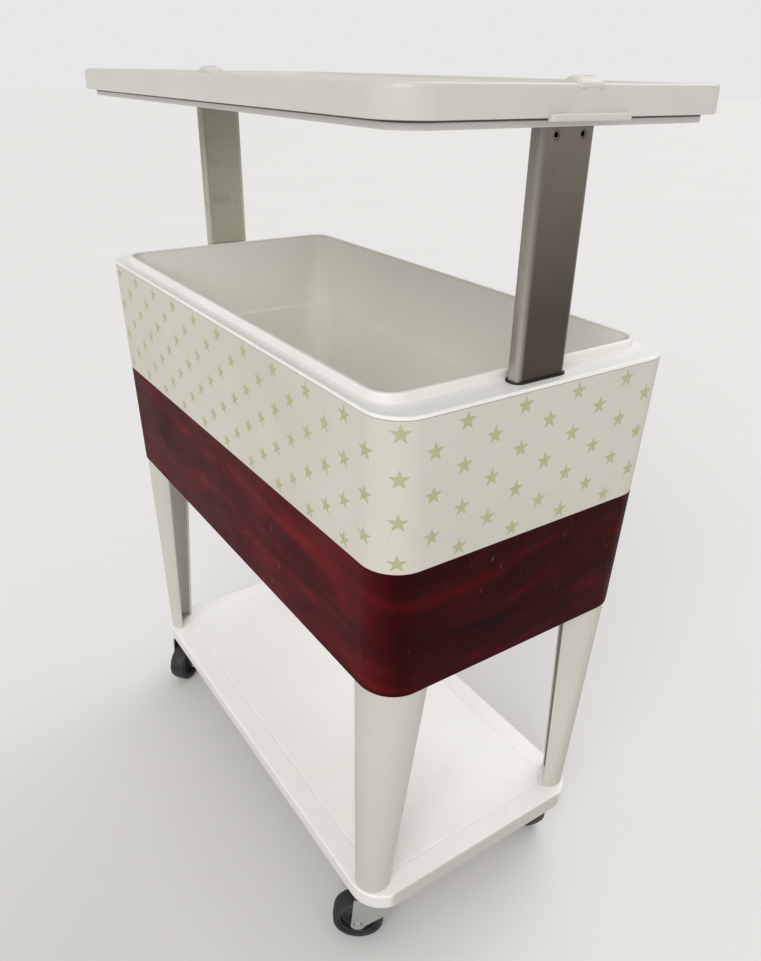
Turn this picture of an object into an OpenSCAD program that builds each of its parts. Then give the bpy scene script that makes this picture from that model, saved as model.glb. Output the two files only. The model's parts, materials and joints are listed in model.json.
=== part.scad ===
// Rolling cooler cart: an insulated tub on four legs over a shelf on casters,
// with a lid that rises and lowers on two flat columns.
// The origin is on the floor under the middle of the cart, +X runs along its length.

/* [Tub] */
// Length of the tub at its rim
rim_l = 820; // [800:5:850]
// Width of the tub at its rim
rim_w = 406; // [400:2:430]
// Corner radius of the tub at its rim
rim_r = 43; // [40:1:48]
// Height of the tub from its underside to the rim
tub_h = 352; // [330:4:400]
// How far each end of the tub draws in from rim to underside
draw_l = 9; // [6:0.5:9]
// How far each long side of the tub draws in from rim to underside
draw_w = 6; // [4:0.5:8]
// Corner radius of the tub at its underside
foot_r = 47; // [44:1:50]
// Sheet thickness of the outer shell
wall_t = 1.2; // [1:0.1:1.5]
// Thickness of the shell's floor
floor_t = 2; // [1.5:0.5:3]
// Thickness of the printed film on the shell
film_t = 0.4; // [0.3:0.1:0.6]
// Width of the rim at each end of the opening
rim_band_l = 41; // [41:0.5:44]
// Width of the rim at each long side of the opening
rim_band_w = 22; // [21:0.5:26]
// Corner radius of the opening
opening_r = 25; // [20:1:35]
// Thickness of the raised lip round the opening
lip_t = 5.5; // [5:0.1:5.5]
// Height of the raised lip above the rim
lip_h = 10; // [8:0.5:12]
// Depth of the rim's outer skirt
skirt_h = 4; // [4:0.5:12]
// Thickness of the rim frame
rim_t = 2.6; // [2.4:0.2:3]
// Wall thickness of the inner tub
liner_t = 2.5; // [2:0.1:2.5]
// How far the inner tub's walls lean in above its step
liner_lean = 8; // [5:0.5:12]
// How far the inner tub's walls lean in below its step
liner_low_lean = 8; // [5:0.5:12]
// Depth of the step line below the rim
step_drop = 115; // [90:5:150]
// Width of the step line
step_w = 3; // [2:0.5:5]
// Thickness of the insulation under the inner tub
foam_floor_t = 24; // [20:1:30]

/* [Shelf and legs] */
// How far the shelf's ends stand in from the rim's ends
shelf_in_l = 24; // [18:0.5:28]
// How far the shelf's long sides stand in from the rim's sides
shelf_in_w = 7; // [2:0.5:8]
// Corner radius of the shelf
shelf_r = 50; // [45:1:56]
// Thickness of the shelf
shelf_t = 24; // [22:1:30]
// Thickness of the shelf's deck over its underside pockets
deck_t = 6; // [5:0.5:8]
// How far the groove lies in from the shelf's edge
groove_inset = 32; // [26:1:40]
// Width of the groove
groove_w = 4; // [3:0.5:6]
// Height of the legs
leg_h = 369; // [330:3:400]
// Radius of a leg at its top
leg_top_r = 45; // [40:0.5:46]
// Radius of a leg at its foot
leg_foot_r = 24.5; // [22:0.5:27]
// How far a leg's foot stands in from its top along the cart
leg_lean_l = 8; // [6:0.5:12]
// How far a leg's foot stands out from its top across the cart
leg_lean_w = 17; // [14:0.5:18]
// Wall thickness of a leg
leg_t = 2.5; // [2:0.25:3]
// Width of the turned-in edges of a leg
leg_lip = 7; // [5:0.5:9]
// Angle from a leg's inner diagonal to its open edges
leg_mouth = 80; // [70:1:88]

/* [Casters] */
// Height from the floor to the shelf's underside
caster_h = 98; // [96:0.5:106]
// Diameter of the wheels
wheel_d = 75; // [70:1:76]
// Width of the tyres
tyre_w = 30; // [26:1:32]
// Radial thickness of the tyres
tyre_t = 9.5; // [8:0.5:11]
// How far a wheel trails behind its swivel
trail = 30; // [26:1:32]
// How far a caster's swivel stands in from the shelf's end
caster_in_l = 38; // [36:0.5:46]
// How far a caster's swivel stands in from the shelf's long side
caster_in_w = 40; // [38:0.5:46]
// Heading of the wheel at the front right corner
heading_fr = -125; // [-170:1:170]
// Heading of the wheel at the front left corner
heading_fl = -53; // [-170:1:170]
// Heading of the wheel at the rear right corner
heading_rr = 170; // [-170:1:170]
// Diameter of a wheel's axle
axle_d = 8; // [6:0.5:9]

/* [Lid] */
// How far the lid travels from raised to closed
lid_travel = 242; // [200:2:246]
// How far the lid reaches out past the rim at each end
lid_over_l = 8; // [6:0.5:12]
// How far the lid reaches out past the rim at each long side
lid_over_w = 6; // [4:0.5:12]
// Corner radius of the lid
lid_r = 44; // [40:1:50]
// Height of the lid's outer wall
lid_wall_h = 27; // [26:0.5:32]
// Thickness of the lid's outer cover
cover_t = 3; // [2.5:0.25:3.5]
// Depth of the shallow tray in the lid's top
tray_d = 4; // [3:0.5:5]
// Width of the raised edge round that tray
tray_edge = 10; // [8:0.5:12]
// How far the lid's lower flange stands in from its outer wall
flange_inset = 14; // [13:0.5:14.5]
// How far the lower flange reaches below the outer wall
flange_drop = 8; // [6:0.5:9]
// Thickness of the lid's lower pan
pan_t = 2.5; // [2:0.25:3]

/* [Columns] */
// Width of a column across the cart
column_w = 70; // [60:1:76]
// Thickness of a column along the cart
column_t = 19; // [18:0.5:19]
// Corner radius of a column
column_r = 8; // [6:0.5:8.5]
// Wall thickness of a column
column_wall = 2; // [1.75:0.25:2]
// How far a column's middle stands in from the rim's end
column_in = 23; // [22.5:0.1:23]
// Length of a column that stays in the tub when the lid is raised
column_hold = 90; // [80:1:96]
// Clearance between a column and its sleeve
column_gap = 0.5; // [0.4:0.1:0.6]
// Wall thickness of a column's sleeve
sleeve_t = 1.2; // [1:0.1:1.2]

/* [Grips] */
// Width of the ledge under a grip
ledge_w = 100; // [90:1:110]
// How far the ledge stands out from the lid's wall
ledge_out = 5.5; // [4:0.5:12]
// Thickness of the ledge
ledge_t = 6; // [5:0.5:8]
// Width of a grip's knob
knob_w = 24; // [22:1:30]
// Height of a grip's knob above the lid
knob_h = 5.5; // [5:0.5:9]
// Length of the ramp from the knob down to the lid's tray
ramp_l = 58; // [40:1:70]
// Radius of a release button
button_r = 4.8; // [4.5:0.1:5.5]
// Travel of a release button
button_travel = 3; // [2:0.25:3]

/* [Hidden] */
$fn = 48;

// Gap between pieces that rest on each other, and the gap round pieces that slide
seat_gap = 0.3;
run_gap = 0.05;
// Segments in each quarter of a rounded outline
arc_n = 8;

// Main lengths and widths that follow the rim
opening_l = rim_l - 2 * rim_band_l;
opening_w = rim_w - 2 * rim_band_w;
shelf_l = rim_l - 2 * shelf_in_l;
shelf_w = rim_w - 2 * shelf_in_w;
caster_x = shelf_l / 2 - caster_in_l;
caster_y = shelf_w / 2 - caster_in_w;
lid_l = rim_l + 2 * lid_over_l;
lid_w = rim_w + 2 * lid_over_w;
column_x = rim_l / 2 - column_in;
button_x = lid_l / 2 - 13.5;

// Heights of the main levels above the floor
shelf_z = caster_h + shelf_t;
foot_z = shelf_z - 1;
tub_z = shelf_z + leg_h;
rim_z = tub_z + tub_h;
liner_z = tub_z + floor_t + foam_floor_t + liner_t;
flange_z = rim_z + lid_travel + seat_gap;
lid_z = flange_z + flange_drop;
lid_top_z = lid_z + lid_wall_h;
tray_z = lid_top_z - tray_d;
ceiling_z = tray_z - cover_t - 0.5;
pan_z = flange_z + lip_h + 5;
column_top_z = ceiling_z - 2.5;
column_foot_z = rim_z - column_hold;

// A rounded rectangle as a ring of points, counted anticlockwise from above
function ring(hx, hy, r, z) = [
    for (q = [0:3], i = [0:arc_n])
        let (a = 90 * q + 90 * i / arc_n)
        let (cx = (q == 0 || q == 3) ? hx - r : r - hx)
        let (cy = (q < 2) ? hy - r : r - hy)
        [cx + r * cos(a), cy + r * sin(a), z]
];

// How far down the tub's wall a height lies, from 0 at the rim to 1 at the underside
function down(z) = (rim_z - z) / tub_h;

// The tub's outer wall at height z, moved in by d
function skin(z, d = 0) = ring(
    rim_l / 2 - draw_l * down(z) - d,
    rim_w / 2 - draw_w * down(z) - d,
    rim_r + (foot_r - rim_r) * down(z) - d,
    z
);

// Side faces between rings, as triangles that wind clockwise seen from outside
function band_faces(n, a, b) = [
    for (i = [0:n - 1])
        let (k = (i + 1) % n)
        each [
            [a * n + i, b * n + i, b * n + k],
            [a * n + i, b * n + k, a * n + k]
        ]
];

// A solid whose rings run from its lower middle outwards, up and back to its upper middle
module loft(rings) {
    n = len(rings[0]);
    m = len(rings);
    polyhedron(
        points = [for (r = rings) each r],
        faces = concat(
            [[for (i = [0:n - 1]) i]],
            [for (j = [0:m - 2]) each band_faces(n, j, j + 1)],
            [[for (i = [n - 1:-1:0]) (m - 1) * n + i]]
        ),
        convexity = 6
    );
}

// A closed frame whose rings run round its section
module frame_loft(rings) {
    n = len(rings[0]);
    m = len(rings);
    polyhedron(
        points = [for (r = rings) each r],
        faces = [for (j = [0:m - 1]) each band_faces(n, j, (j + 1) % m)],
        convexity = 6
    );
}

// A rounded rectangle drawn from squares and circles
module plate2d(lx, ly, r) {
    square([lx - 2 * r, ly], center = true);
    square([lx, ly - 2 * r], center = true);
    for (sx = [-1, 1], sy = [-1, 1])
        translate([sx * (lx / 2 - r), sy * (ly / 2 - r)])
            circle(r);
}

// The column's outline grown by g on every side
module column2d(g) {
    plate2d(column_t + 2 * g, column_w + 2 * g, column_r + g);
}

// A block with the column's outline grown by g, between two heights
module column_block(g, z0, z1) {
    translate([column_x, 0, z0])
        linear_extrude(z1 - z0)
            column2d(g);
}

// The right half of the cart, and its mirror image at the left
module at_end(sx) {
    mirror([sx < 0 ? 1 : 0, 0, 0])
        children();
}

module at_corner(sx, sy) {
    mirror([sx < 0 ? 1 : 0, 0, 0])
        mirror([0, sy < 0 ? 1 : 0, 0])
            children();
}

// Tub

drain_x = 160 - rim_l / 2;
drain_r = 11;
drain_wall = 3;
shell_in = film_t + wall_t;
skirt_z = rim_z - skirt_h;
film_top_z = skirt_z - 0.8;
joggle_in = rim_t + seat_gap;
edge_r = 2;

// Places of the bolts that hold a leg's top to the tub
leg_top_x = rim_l / 2 - draw_l - foot_r;
leg_top_y = rim_w / 2 - draw_w - foot_r;
leg_foot_x = leg_top_x - leg_lean_l;
leg_foot_y = leg_top_y + leg_lean_w;
bolt_r = 3;
bolt_hole_r = 3.3;
bolt_out = 18;
bolt_side = 20;
foot_bolt_out = 9;
foot_bolt_side = 11;
nut_r = 5.5;
nut_h = 4;

// Two places beside a leg's outer diagonal, seen from a centre at x, y
module at_pair(x, y, out, side) {
    for (s = [-1, 1])
        translate([x, y, 0])
            rotate([0, 0, 45])
                translate([out, s * side, 0])
                    children();
}

module at_leg_bolts() {
    for (sx = [-1, 1], sy = [-1, 1])
        at_corner(sx, sy)
            at_pair(leg_top_x, leg_top_y, bolt_out, bolt_side)
                children();
}

module at_foot_bolts() {
    for (sx = [-1, 1], sy = [-1, 1])
        at_corner(sx, sy)
            at_pair(leg_foot_x, leg_foot_y, foot_bolt_out, foot_bolt_side)
                children();
}

module tub_shell() {
    color("ivory")
        difference() {
            loft([
                skin(tub_z, film_t + edge_r),
                skin(tub_z + edge_r, film_t),
                skin(film_top_z, film_t),
                skin(skirt_z - seat_gap, joggle_in),
                skin(rim_z - rim_t - seat_gap, joggle_in),
                skin(rim_z - rim_t - seat_gap, joggle_in + wall_t),
                skin(skirt_z - seat_gap, joggle_in + wall_t),
                skin(film_top_z - wall_t, shell_in),
                skin(tub_z + floor_t, shell_in)
            ]);
            at_leg_bolts()
                translate([0, 0, tub_z - 1])
                    cylinder(r = bolt_hole_r, h = floor_t + 2);
            translate([drain_x, 0, tub_z - 1])
                cylinder(r = drain_r + seat_gap, h = floor_t + 2);
        }
}

module printed_wrap() {
    color("firebrick")
        frame_loft([
            skin(tub_z + edge_r, 0),
            skin(film_top_z, 0),
            skin(film_top_z, film_t),
            skin(tub_z + edge_r, film_t)
        ]);
}

// The inner tub's inside face, from the lip down to the edge of its floor
floor_round = 14;
step_z = rim_z - step_drop;
upper_in = liner_lean;
lower_in = liner_lean + step_w;
full_in = liner_lean + step_w + liner_low_lean;

function well(z, d, off) = ring(
    opening_l / 2 - d + off,
    opening_w / 2 - d + off,
    opening_r + d / 2 + off,
    z
);

module tub_liner() {
    top_z = rim_z + lip_h - 2 - seat_gap;
    t = liner_t;
    color("antiquewhite")
        difference() {
            loft([
                well(liner_z - t, full_in + floor_round, t),
                well(liner_z + floor_round - t, full_in, t),
                well(step_z - t, lower_in, t),
                well(step_z, upper_in, t),
                well(top_z, 0, t),
                well(top_z, 0, 0),
                well(step_z + t, upper_in, 0),
                well(step_z, lower_in, 0),
                well(liner_z + floor_round, full_in, 0),
                well(liner_z + floor_round / 3, full_in + floor_round / 3, 0),
                well(liner_z, full_in + floor_round, 0)
            ]);
            translate([drain_x, 0, liner_z - 2 * t])
                cylinder(r = drain_r + seat_gap, h = 4 * t);
        }
}

module tub_foam() {
    gap = liner_t + seat_gap;
    low_z = tub_z + floor_t + seat_gap;
    high_z = skirt_z - 6;
    color("khaki")
        difference() {
            loft([
                skin(low_z, shell_in + seat_gap),
                skin(high_z, shell_in + seat_gap),
                well(high_z, 0, gap),
                well(step_z, upper_in, gap),
                well(step_z - gap, lower_in, gap),
                well(liner_z + floor_round - gap, full_in, gap),
                well(liner_z - gap, full_in + floor_round, gap)
            ]);
            for (sx = [-1, 1])
                at_end(sx)
                    column_block(column_gap + sleeve_t + seat_gap, tub_z, rim_z);
            at_leg_bolts()
                translate([0, 0, tub_z])
                    cylinder(r = nut_r + 1, h = floor_t + nut_h + 2);
            translate([drain_x, 0, tub_z])
                cylinder(r = drain_r + 1, h = 2 * foam_floor_t);
        }
}

module rim_frame() {
    ox = opening_l / 2 + lip_t;
    oy = opening_w / 2 + lip_t;
    or = opening_r + lip_t;
    crown = 2;
    top = rim_z + lip_h;
    under = rim_z - rim_t;
    recess = liner_t + seat_gap;
    color("white")
        difference() {
            frame_loft([
                skin(skirt_z, 0),
                skin(rim_z - 2.5, 0),
                skin(rim_z - 0.8, 0.7),
                skin(rim_z, 2.5),
                ring(ox + 0.4, oy + 0.4, or + 0.4, rim_z),
                ring(ox, oy, or, rim_z + 0.4),
                ring(ox, oy, or, top - crown / 2),
                ring(ox - crown / 2, oy - crown / 2, or - crown / 2, top),
                well(top, 0, crown / 2),
                well(top - crown / 2, 0, 0),
                well(top - crown, 0, 0),
                well(top - crown, 0, recess),
                well(under, 0, recess),
                skin(under, rim_t),
                skin(skirt_z, rim_t)
            ]);
            for (sx = [-1, 1])
                at_end(sx)
                    column_block(gasket_neck + seat_gap, rim_z - 2 * rim_t, rim_z + 2);
        }
}

gasket_gap = 0.3;
gasket_neck = 1.7;
gasket_brim = 2.4;
gasket_t = 1.6;

module column_gasket(sx) {
    color("#202020")
        at_end(sx)
            difference() {
                union() {
                    column_block(gasket_neck, rim_z - rim_t, rim_z);
                    column_block(gasket_brim, rim_z, rim_z + gasket_t);
                }
                column_block(gasket_gap, rim_z - 2 * rim_t, rim_z + 2 * gasket_t);
            }
}

module column_sleeve(sx) {
    color("slategray")
        at_end(sx)
            difference() {
                column_block(column_gap + sleeve_t, tub_z + floor_t + seat_gap, rim_z - rim_t - seat_gap);
                column_block(column_gap, tub_z, rim_z);
            }
}

// Legs

leg_plate_t = 4;
leg_steps = 22;

// Angles along a leg's section, with close pairs where the turned-in edges start
function leg_angles() =
    let (a0 = 45 + leg_mouth)
    let (a1 = 360 + 45 - leg_mouth)
    let (edge = 4)
    concat(
        [a0, a0 + edge, a0 + edge + 0.5],
        [for (i = [1:leg_steps - 1]) a0 + edge + (a1 - a0 - 2 * edge) * i / leg_steps],
        [a1 - edge - 0.5, a1 - edge, a1]
    );

// One closed ring of a leg: the outer arc, then the inner arc back
function leg_ring(cx, cy, r, z) =
    let (a = leg_angles())
    let (n = len(a))
    concat(
        [for (i = [0:n - 1]) [cx - r * cos(a[i]), cy - r * sin(a[i]), z]],
        [for (j = [0:n - 1])
            let (i = n - 1 - j)
            let (turned = i < 2 || i > n - 3)
            let (q = r - (turned ? leg_lip : leg_t))
            [cx - q * cos(a[i]), cy - q * sin(a[i]), z]]
    );

module leg_body() {
    rings = [
        leg_ring(leg_foot_x, leg_foot_y, leg_foot_r, foot_z),
        leg_ring(leg_top_x, leg_top_y, leg_top_r, tub_z)
    ];
    m = len(rings[0]);
    n = m / 2;
    polyhedron(
        points = [for (r = rings) each r],
        faces = concat(
            band_faces(m, 0, 1),
            [for (i = [0:n - 2]) each [
                [i, i + 1, m - 2 - i],
                [i, m - 2 - i, m - 1 - i],
                [m + i, m + m - 2 - i, m + i + 1],
                [m + i, m + m - 1 - i, m + m - 2 - i]
            ]]
        ),
        convexity = 6
    );
}

// A leg's end plate: the outer half of a disc, with its straight edge across the open side
module leg_plate(x, y, z, r) {
    translate([x, y, z])
        rotate([0, 0, 45])
            difference() {
                cylinder(r = r - leg_t / 2, h = leg_plate_t);
                translate([-2 * r - 1, -r, -1])
                    cube([2 * r, 2 * r, leg_plate_t + 2]);
            }
}

module leg(sx, sy) {
    color("whitesmoke")
        at_corner(sx, sy)
            difference() {
                union() {
                    leg_body();
                    leg_plate(leg_top_x, leg_top_y, tub_z - leg_plate_t, leg_top_r);
                    leg_plate(leg_foot_x, leg_foot_y, foot_z, leg_foot_r);
                }
                at_pair(leg_top_x, leg_top_y, bolt_out, bolt_side)
                    translate([0, 0, tub_z - 2 * leg_plate_t])
                        cylinder(r = bolt_hole_r, h = 3 * leg_plate_t);
                at_pair(leg_foot_x, leg_foot_y, foot_bolt_out, foot_bolt_side)
                    translate([0, 0, foot_z - 1])
                        cylinder(r = bolt_hole_r, h = 2 * leg_plate_t);
            }
}

// Screws that hold each leg: two bolts with nuts at the top, two screws at the foot
foot_screw_l = 12;

module leg_screws() {
    head_h = 3;
    color("silver") {
        at_leg_bolts() {
            translate([0, 0, tub_z - leg_plate_t - head_h])
                cylinder(r = nut_r, h = head_h);
            translate([0, 0, tub_z - leg_plate_t])
                cylinder(r = bolt_r, h = leg_plate_t + floor_t + nut_h + 1);
            translate([0, 0, tub_z + floor_t])
                cylinder(r = nut_r, h = nut_h);
        }
        at_foot_bolts() {
            translate([0, 0, foot_z - foot_screw_l])
                cylinder(r = bolt_r, h = foot_screw_l + leg_plate_t);
            translate([0, 0, foot_z + leg_plate_t])
                cylinder(r = nut_r, h = head_h);
        }
    }
}

// Shelf

rib_t = 5;
cells_l = 8;
cells_w = 4;
shelf_edge = 2;

module base_shelf() {
    hx = shelf_l / 2;
    hy = shelf_w / 2;
    groove_d = 1;
    cell_l = (shelf_l - rib_t) / cells_l;
    cell_w = (shelf_w - rib_t) / cells_w;
    color("white")
        difference() {
            loft([
                ring(hx - 1, hy - 1, shelf_r - 1, caster_h),
                ring(hx, hy, shelf_r, caster_h + 1),
                ring(hx, hy, shelf_r, shelf_z - shelf_edge),
                ring(hx - 0.6, hy - 0.6, shelf_r - 0.6, shelf_z - 0.6),
                ring(hx - shelf_edge, hy - shelf_edge, shelf_r - shelf_edge, shelf_z),
                ring(hx - groove_inset, hy - groove_inset, shelf_r / 2, shelf_z),
                ring(hx - groove_inset - 1, hy - groove_inset - 1, shelf_r / 2 - 1, shelf_z - groove_d),
                ring(
                    hx - groove_inset - groove_w + 1, hy - groove_inset - groove_w + 1,
                    shelf_r / 2 - groove_w + 1, shelf_z - groove_d
                ),
                ring(hx - groove_inset - groove_w, hy - groove_inset - groove_w, shelf_r / 2 - groove_w, shelf_z)
            ]);
            for (i = [0:cells_l - 1], j = [0:cells_w - 1])
                if (!((i == 0 || i == cells_l - 1) && (j == 0 || j == cells_w - 1)))
                    translate([
                        rib_t - shelf_l / 2 + i * cell_l,
                        rib_t - shelf_w / 2 + j * cell_w,
                        caster_h - 1
                    ])
                        cube([cell_l - rib_t, cell_w - rib_t, shelf_t - deck_t + 1]);
            at_foot_bolts()
                translate([0, 0, foot_z - foot_screw_l - 1])
                    cylinder(r = bolt_r, h = foot_screw_l + 3);
            for (sx = [-1, 1], sy = [-1, 1])
                at_corner(sx, sy)
                    translate([leg_foot_x, leg_foot_y, foot_z])
                        cylinder(r = leg_foot_r + 1, h = shelf_z - foot_z + 1);
            at_caster_screws()
                translate([0, 0, caster_h - 1])
                    cylinder(r = plate_screw_r, h = plate_screw_l + 2);
        }
}

// Drain

nut_face_r = 17;
cap_drop = 22;

module drain_fitting() {
    color("white")
        translate([drain_x, 0, 0])
            difference() {
                union() {
                    translate([0, 0, tub_z - cap_drop + 6])
                        cylinder(r = drain_r, h = liner_z - tub_z + cap_drop - 6);
                    translate([0, 0, liner_z])
                        cylinder(r = nut_face_r, h = 2);
                }
                translate([0, 0, tub_z - cap_drop])
                    cylinder(r = drain_r - drain_wall, h = liner_z - tub_z + 2 * cap_drop);
            }
}

module drain_nut() {
    color("white")
        translate([drain_x, 0, tub_z - 5 - seat_gap])
            difference() {
                cylinder(r = nut_face_r, h = 5, $fn = 6);
                translate([0, 0, -1])
                    cylinder(r = drain_r + run_gap, h = 7);
            }
}

module drain_cap() {
    wall = 2.5;
    color("white")
        translate([drain_x, 0, tub_z - cap_drop])
            difference() {
                union() {
                    cylinder(r = drain_r + wall, h = cap_drop - 6 - seat_gap);
                    for (i = [0:5])
                        rotate([0, 0, 60 * i])
                            translate([drain_r + wall - 1, -1.5, 0])
                                cube([2.5, 3, cap_drop - 8]);
                }
                translate([0, 0, wall])
                    cylinder(r = drain_r + run_gap, h = cap_drop);
            }
}

// Casters, each drawn at its own swivel axis with the wheel trailing along +X

plate_r = 27.5;
plate_t = 3;
race_r = 18.5;
fork_top_z = caster_h - 7;
fork_t = 3;
cheek_t = 2.5;
cheek_in = tyre_w / 2 + 3;
kingpin_r = 5;
plate_screw_r = 2;
plate_screw_l = 7;
plate_screw_at = 23;
headings = [heading_fr, heading_fl, heading_rr, heading_fr + 180];
wheel_r = wheel_d / 2;
boss_r = 10;

module at_caster(k) {
    sx = (k % 2 == 0) ? 1 : -1;
    sy = (k < 2) ? -1 : 1;
    translate([sx * caster_x, sy * caster_y, 0])
        rotate([0, 0, headings[k]])
            children();
}

module at_caster_screws() {
    for (k = [0:3], i = [0:3])
        at_caster(k)
            rotate([0, 0, 45 + 90 * i])
                translate([plate_screw_at, 0, 0])
                    children();
}

module caster_screws() {
    head_h = 1.6;
    color("silver")
        at_caster_screws() {
            translate([0, 0, caster_h - plate_t])
                cylinder(r = plate_screw_r, h = plate_t + plate_screw_l);
            translate([0, 0, caster_h - plate_t - head_h])
                cylinder(r = 3.6, h = head_h);
        }
}

module caster_plate(k) {
    race_z = fork_top_z + seat_gap;
    color("silver")
        at_caster(k)
            difference() {
                union() {
                    translate([0, 0, caster_h - plate_t])
                        cylinder(r = plate_r, h = plate_t);
                    translate([0, 0, race_z])
                        cylinder(r = race_r, h = caster_h - race_z - 1);
                    translate([0, 0, fork_top_z - fork_t - seat_gap])
                        cylinder(r = kingpin_r, h = fork_t + 2);
                    translate([0, 0, fork_top_z - fork_t - seat_gap - 3])
                        cylinder(r = kingpin_r + 3, h = 3);
                }
                for (i = [0:3])
                    rotate([0, 0, 45 + 90 * i])
                        translate([plate_screw_at, 0, caster_h - 2 * plate_t])
                            cylinder(r = plate_screw_r + 0.2, h = 3 * plate_t);
            }
}

// One cheek's outline in the wheel's plane, with the boss round the axle
module cheek2d() {
    top = fork_top_z - fork_t / 2;
    polygon([
        [-17, top],
        [trail + 6, top],
        [trail + boss_r - 0.4, wheel_r],
        [trail - boss_r + 0.6, wheel_r - 2],
        [-17, top - 22]
    ]);
    translate([trail, wheel_r])
        circle(boss_r);
}

module fork(k) {
    color("silver")
        at_caster(k)
            difference() {
                union() {
                    translate([(trail - 11) / 2, 0, fork_top_z - fork_t])
                        linear_extrude(fork_t)
                            plate2d(trail + 23, 2 * (cheek_in + cheek_t), 10);
                    for (y = [-cheek_in - cheek_t, cheek_in])
                        translate([0, y + cheek_t, 0])
                            rotate([90, 0, 0])
                                linear_extrude(cheek_t)
                                    cheek2d();
                    translate([-17, -cheek_in, fork_top_z - 24])
                        cube([2, 2 * cheek_in, 22]);
                }
                translate([0, 0, fork_top_z - 2 * fork_t])
                    cylinder(r = kingpin_r + run_gap, h = 3 * fork_t);
                translate([trail, cheek_in + 2 * cheek_t, wheel_r])
                    rotate([90, 0, 0])
                        cylinder(r = axle_d / 2 + run_gap, h = 2 * cheek_in + 4 * cheek_t);
            }
}

// The shape below stands on the wheel's axle, turned to lie across the fork
module on_axle() {
    translate([trail, 0, wheel_r])
        rotate([90, 0, 0])
            children();
}

module axle(k) {
    reach = cheek_in + cheek_t;
    head = 2.4;
    color("darkgray")
        at_caster(k)
            on_axle() {
                cylinder(r = axle_d / 2, h = 2 * reach, center = true);
                translate([0, 0, reach])
                    cylinder(r = axle_d / 2 + 2.5, h = head);
                translate([0, 0, -reach - head])
                    cylinder(r = axle_d / 2 + 3, h = head, $fn = 6);
            }
}

module hub(k) {
    bore = axle_d / 2 + run_gap;
    rim = wheel_r - tyre_t;
    end = cheek_in - seat_gap;
    color("dimgray")
        at_caster(k)
            on_axle()
                rotate_extrude()
                    polygon([
                        [bore, -end], [11, -end], [12, -6], [rim - 4, -4], [rim - 3, 2 - tyre_w / 2],
                        [rim, 2 - tyre_w / 2], [rim, tyre_w / 2 - 2], [rim - 3, tyre_w / 2 - 2],
                        [rim - 4, 4], [12, 6], [11, end], [bore, end]
                    ]);
}

module tyre(k) {
    round_r = 0.45 * tyre_t;
    rim = wheel_r - tyre_t + run_gap;
    color("#181818")
        at_caster(k)
            on_axle()
                rotate_extrude() {
                    translate([rim, -tyre_w / 2])
                        square([tyre_t - run_gap - round_r, tyre_w]);
                    translate([rim, round_r - tyre_w / 2])
                        square([tyre_t - run_gap, tyre_w - 2 * round_r]);
                    for (s = [-1, 1])
                        translate([wheel_r - round_r, s * (tyre_w / 2 - round_r)])
                            circle(round_r);
                }
}

// Lid

// The lid's outline at height z, moved in by d
function lid_ring(z, d) = ring(lid_l / 2 - d, lid_w / 2 - d, lid_r - d, z);

seat_d = 0.6;
knob_l = 15;
cover_edge = 3;
cover_in = cover_t + 0.4;

// The outside of the lid's cover from its lower edge to the middle of its tray, grown by g
function cover_outside(g) = [
    lid_ring(lid_z - g, -g),
    lid_ring(lid_top_z - cover_edge + g, 1 - g),
    lid_ring(lid_top_z - 0.8 + g, 1.8 - g),
    lid_ring(lid_top_z + g, cover_edge + 1 - g),
    lid_ring(lid_top_z + g, tray_edge - 1 + g),
    lid_ring(tray_z + g, tray_edge + 2 + g)
];

// One ring of a grip, between two distances along the cart and with a width across it
function grip_ring(x0, x1, w, r, z) = [
    for (p = ring((x1 - x0) / 2, w / 2, r, z)) [p[0] + (x0 + x1) / 2, p[1], p[2]]
];

// The shallow seat of a grip in the tray, grown by g on every side
module grip_seat(g, z0, z1) {
    in_x = button_x - knob_l / 2 - ramp_l - g;
    out_x = lid_l / 2 - tray_edge - 2.6 + g;
    width = knob_w + 10 + 2 * g;
    loft([for (z = [z0, z1]) grip_ring(in_x, out_x, width, 5, z)]);
    translate([out_x - 6, -width / 2, z0])
        cube([6.4, width, z1 - z0]);
}

module lid_cover() {
    color("white")
        difference() {
            loft(concat(
                [
                    lid_ring(ceiling_z, cover_in + 4),
                    lid_ring(ceiling_z - 3, cover_in + 1)
                ],
                [lid_ring(lid_z, cover_t)],
                cover_outside(0)
            ));
            for (sx = [-1, 1])
                at_end(sx) {
                    translate([button_x, 0, ceiling_z - 1])
                        cylinder(r = stem_r + 0.6, h = 2 * cover_t + tray_d);
                    grip_seat(0.4, tray_z - seat_d, tray_z + 1);
                }
        }
}

pan_flange_t = 4;

module lid_pan() {
    out = flange_inset;
    in = flange_inset + pan_flange_t;
    ledge = lid_z + 3;
    color("gainsboro")
        difference() {
            loft([
                lid_ring(pan_z, in),
                lid_ring(flange_z, in),
                lid_ring(flange_z, out),
                lid_ring(ledge, out),
                lid_ring(ledge, cover_in + seat_gap),
                lid_ring(ledge + pan_t, cover_in + seat_gap),
                lid_ring(ledge + pan_t, out + 1),
                lid_ring(pan_z + pan_t, out + 4)
            ]);
            for (sx = [-1, 1])
                at_end(sx)
                    column_block(0.4, flange_z - 1, pan_z + 2 * pan_t);
        }
}

module lid_foam() {
    color("khaki")
        difference() {
            loft([
                lid_ring(pan_z + pan_t + seat_gap, flange_inset + 4),
                lid_ring(ceiling_z - 3.5, flange_inset),
                lid_ring(ceiling_z - seat_gap, flange_inset)
            ]);
            for (sx = [-1, 1])
                at_end(sx) {
                    translate([column_x, 0, pan_z])
                        linear_extrude(ceiling_z - pan_z + 1)
                            plate2d(head_plate_t + 1, head_plate_w + 1, column_r);
                    translate([column_x, -arm_w / 2 - 1, pan_z])
                        cube([lid_l / 2 - column_x, arm_w + 2, ceiling_z - pan_z + 1]);
                }
        }
}

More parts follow.
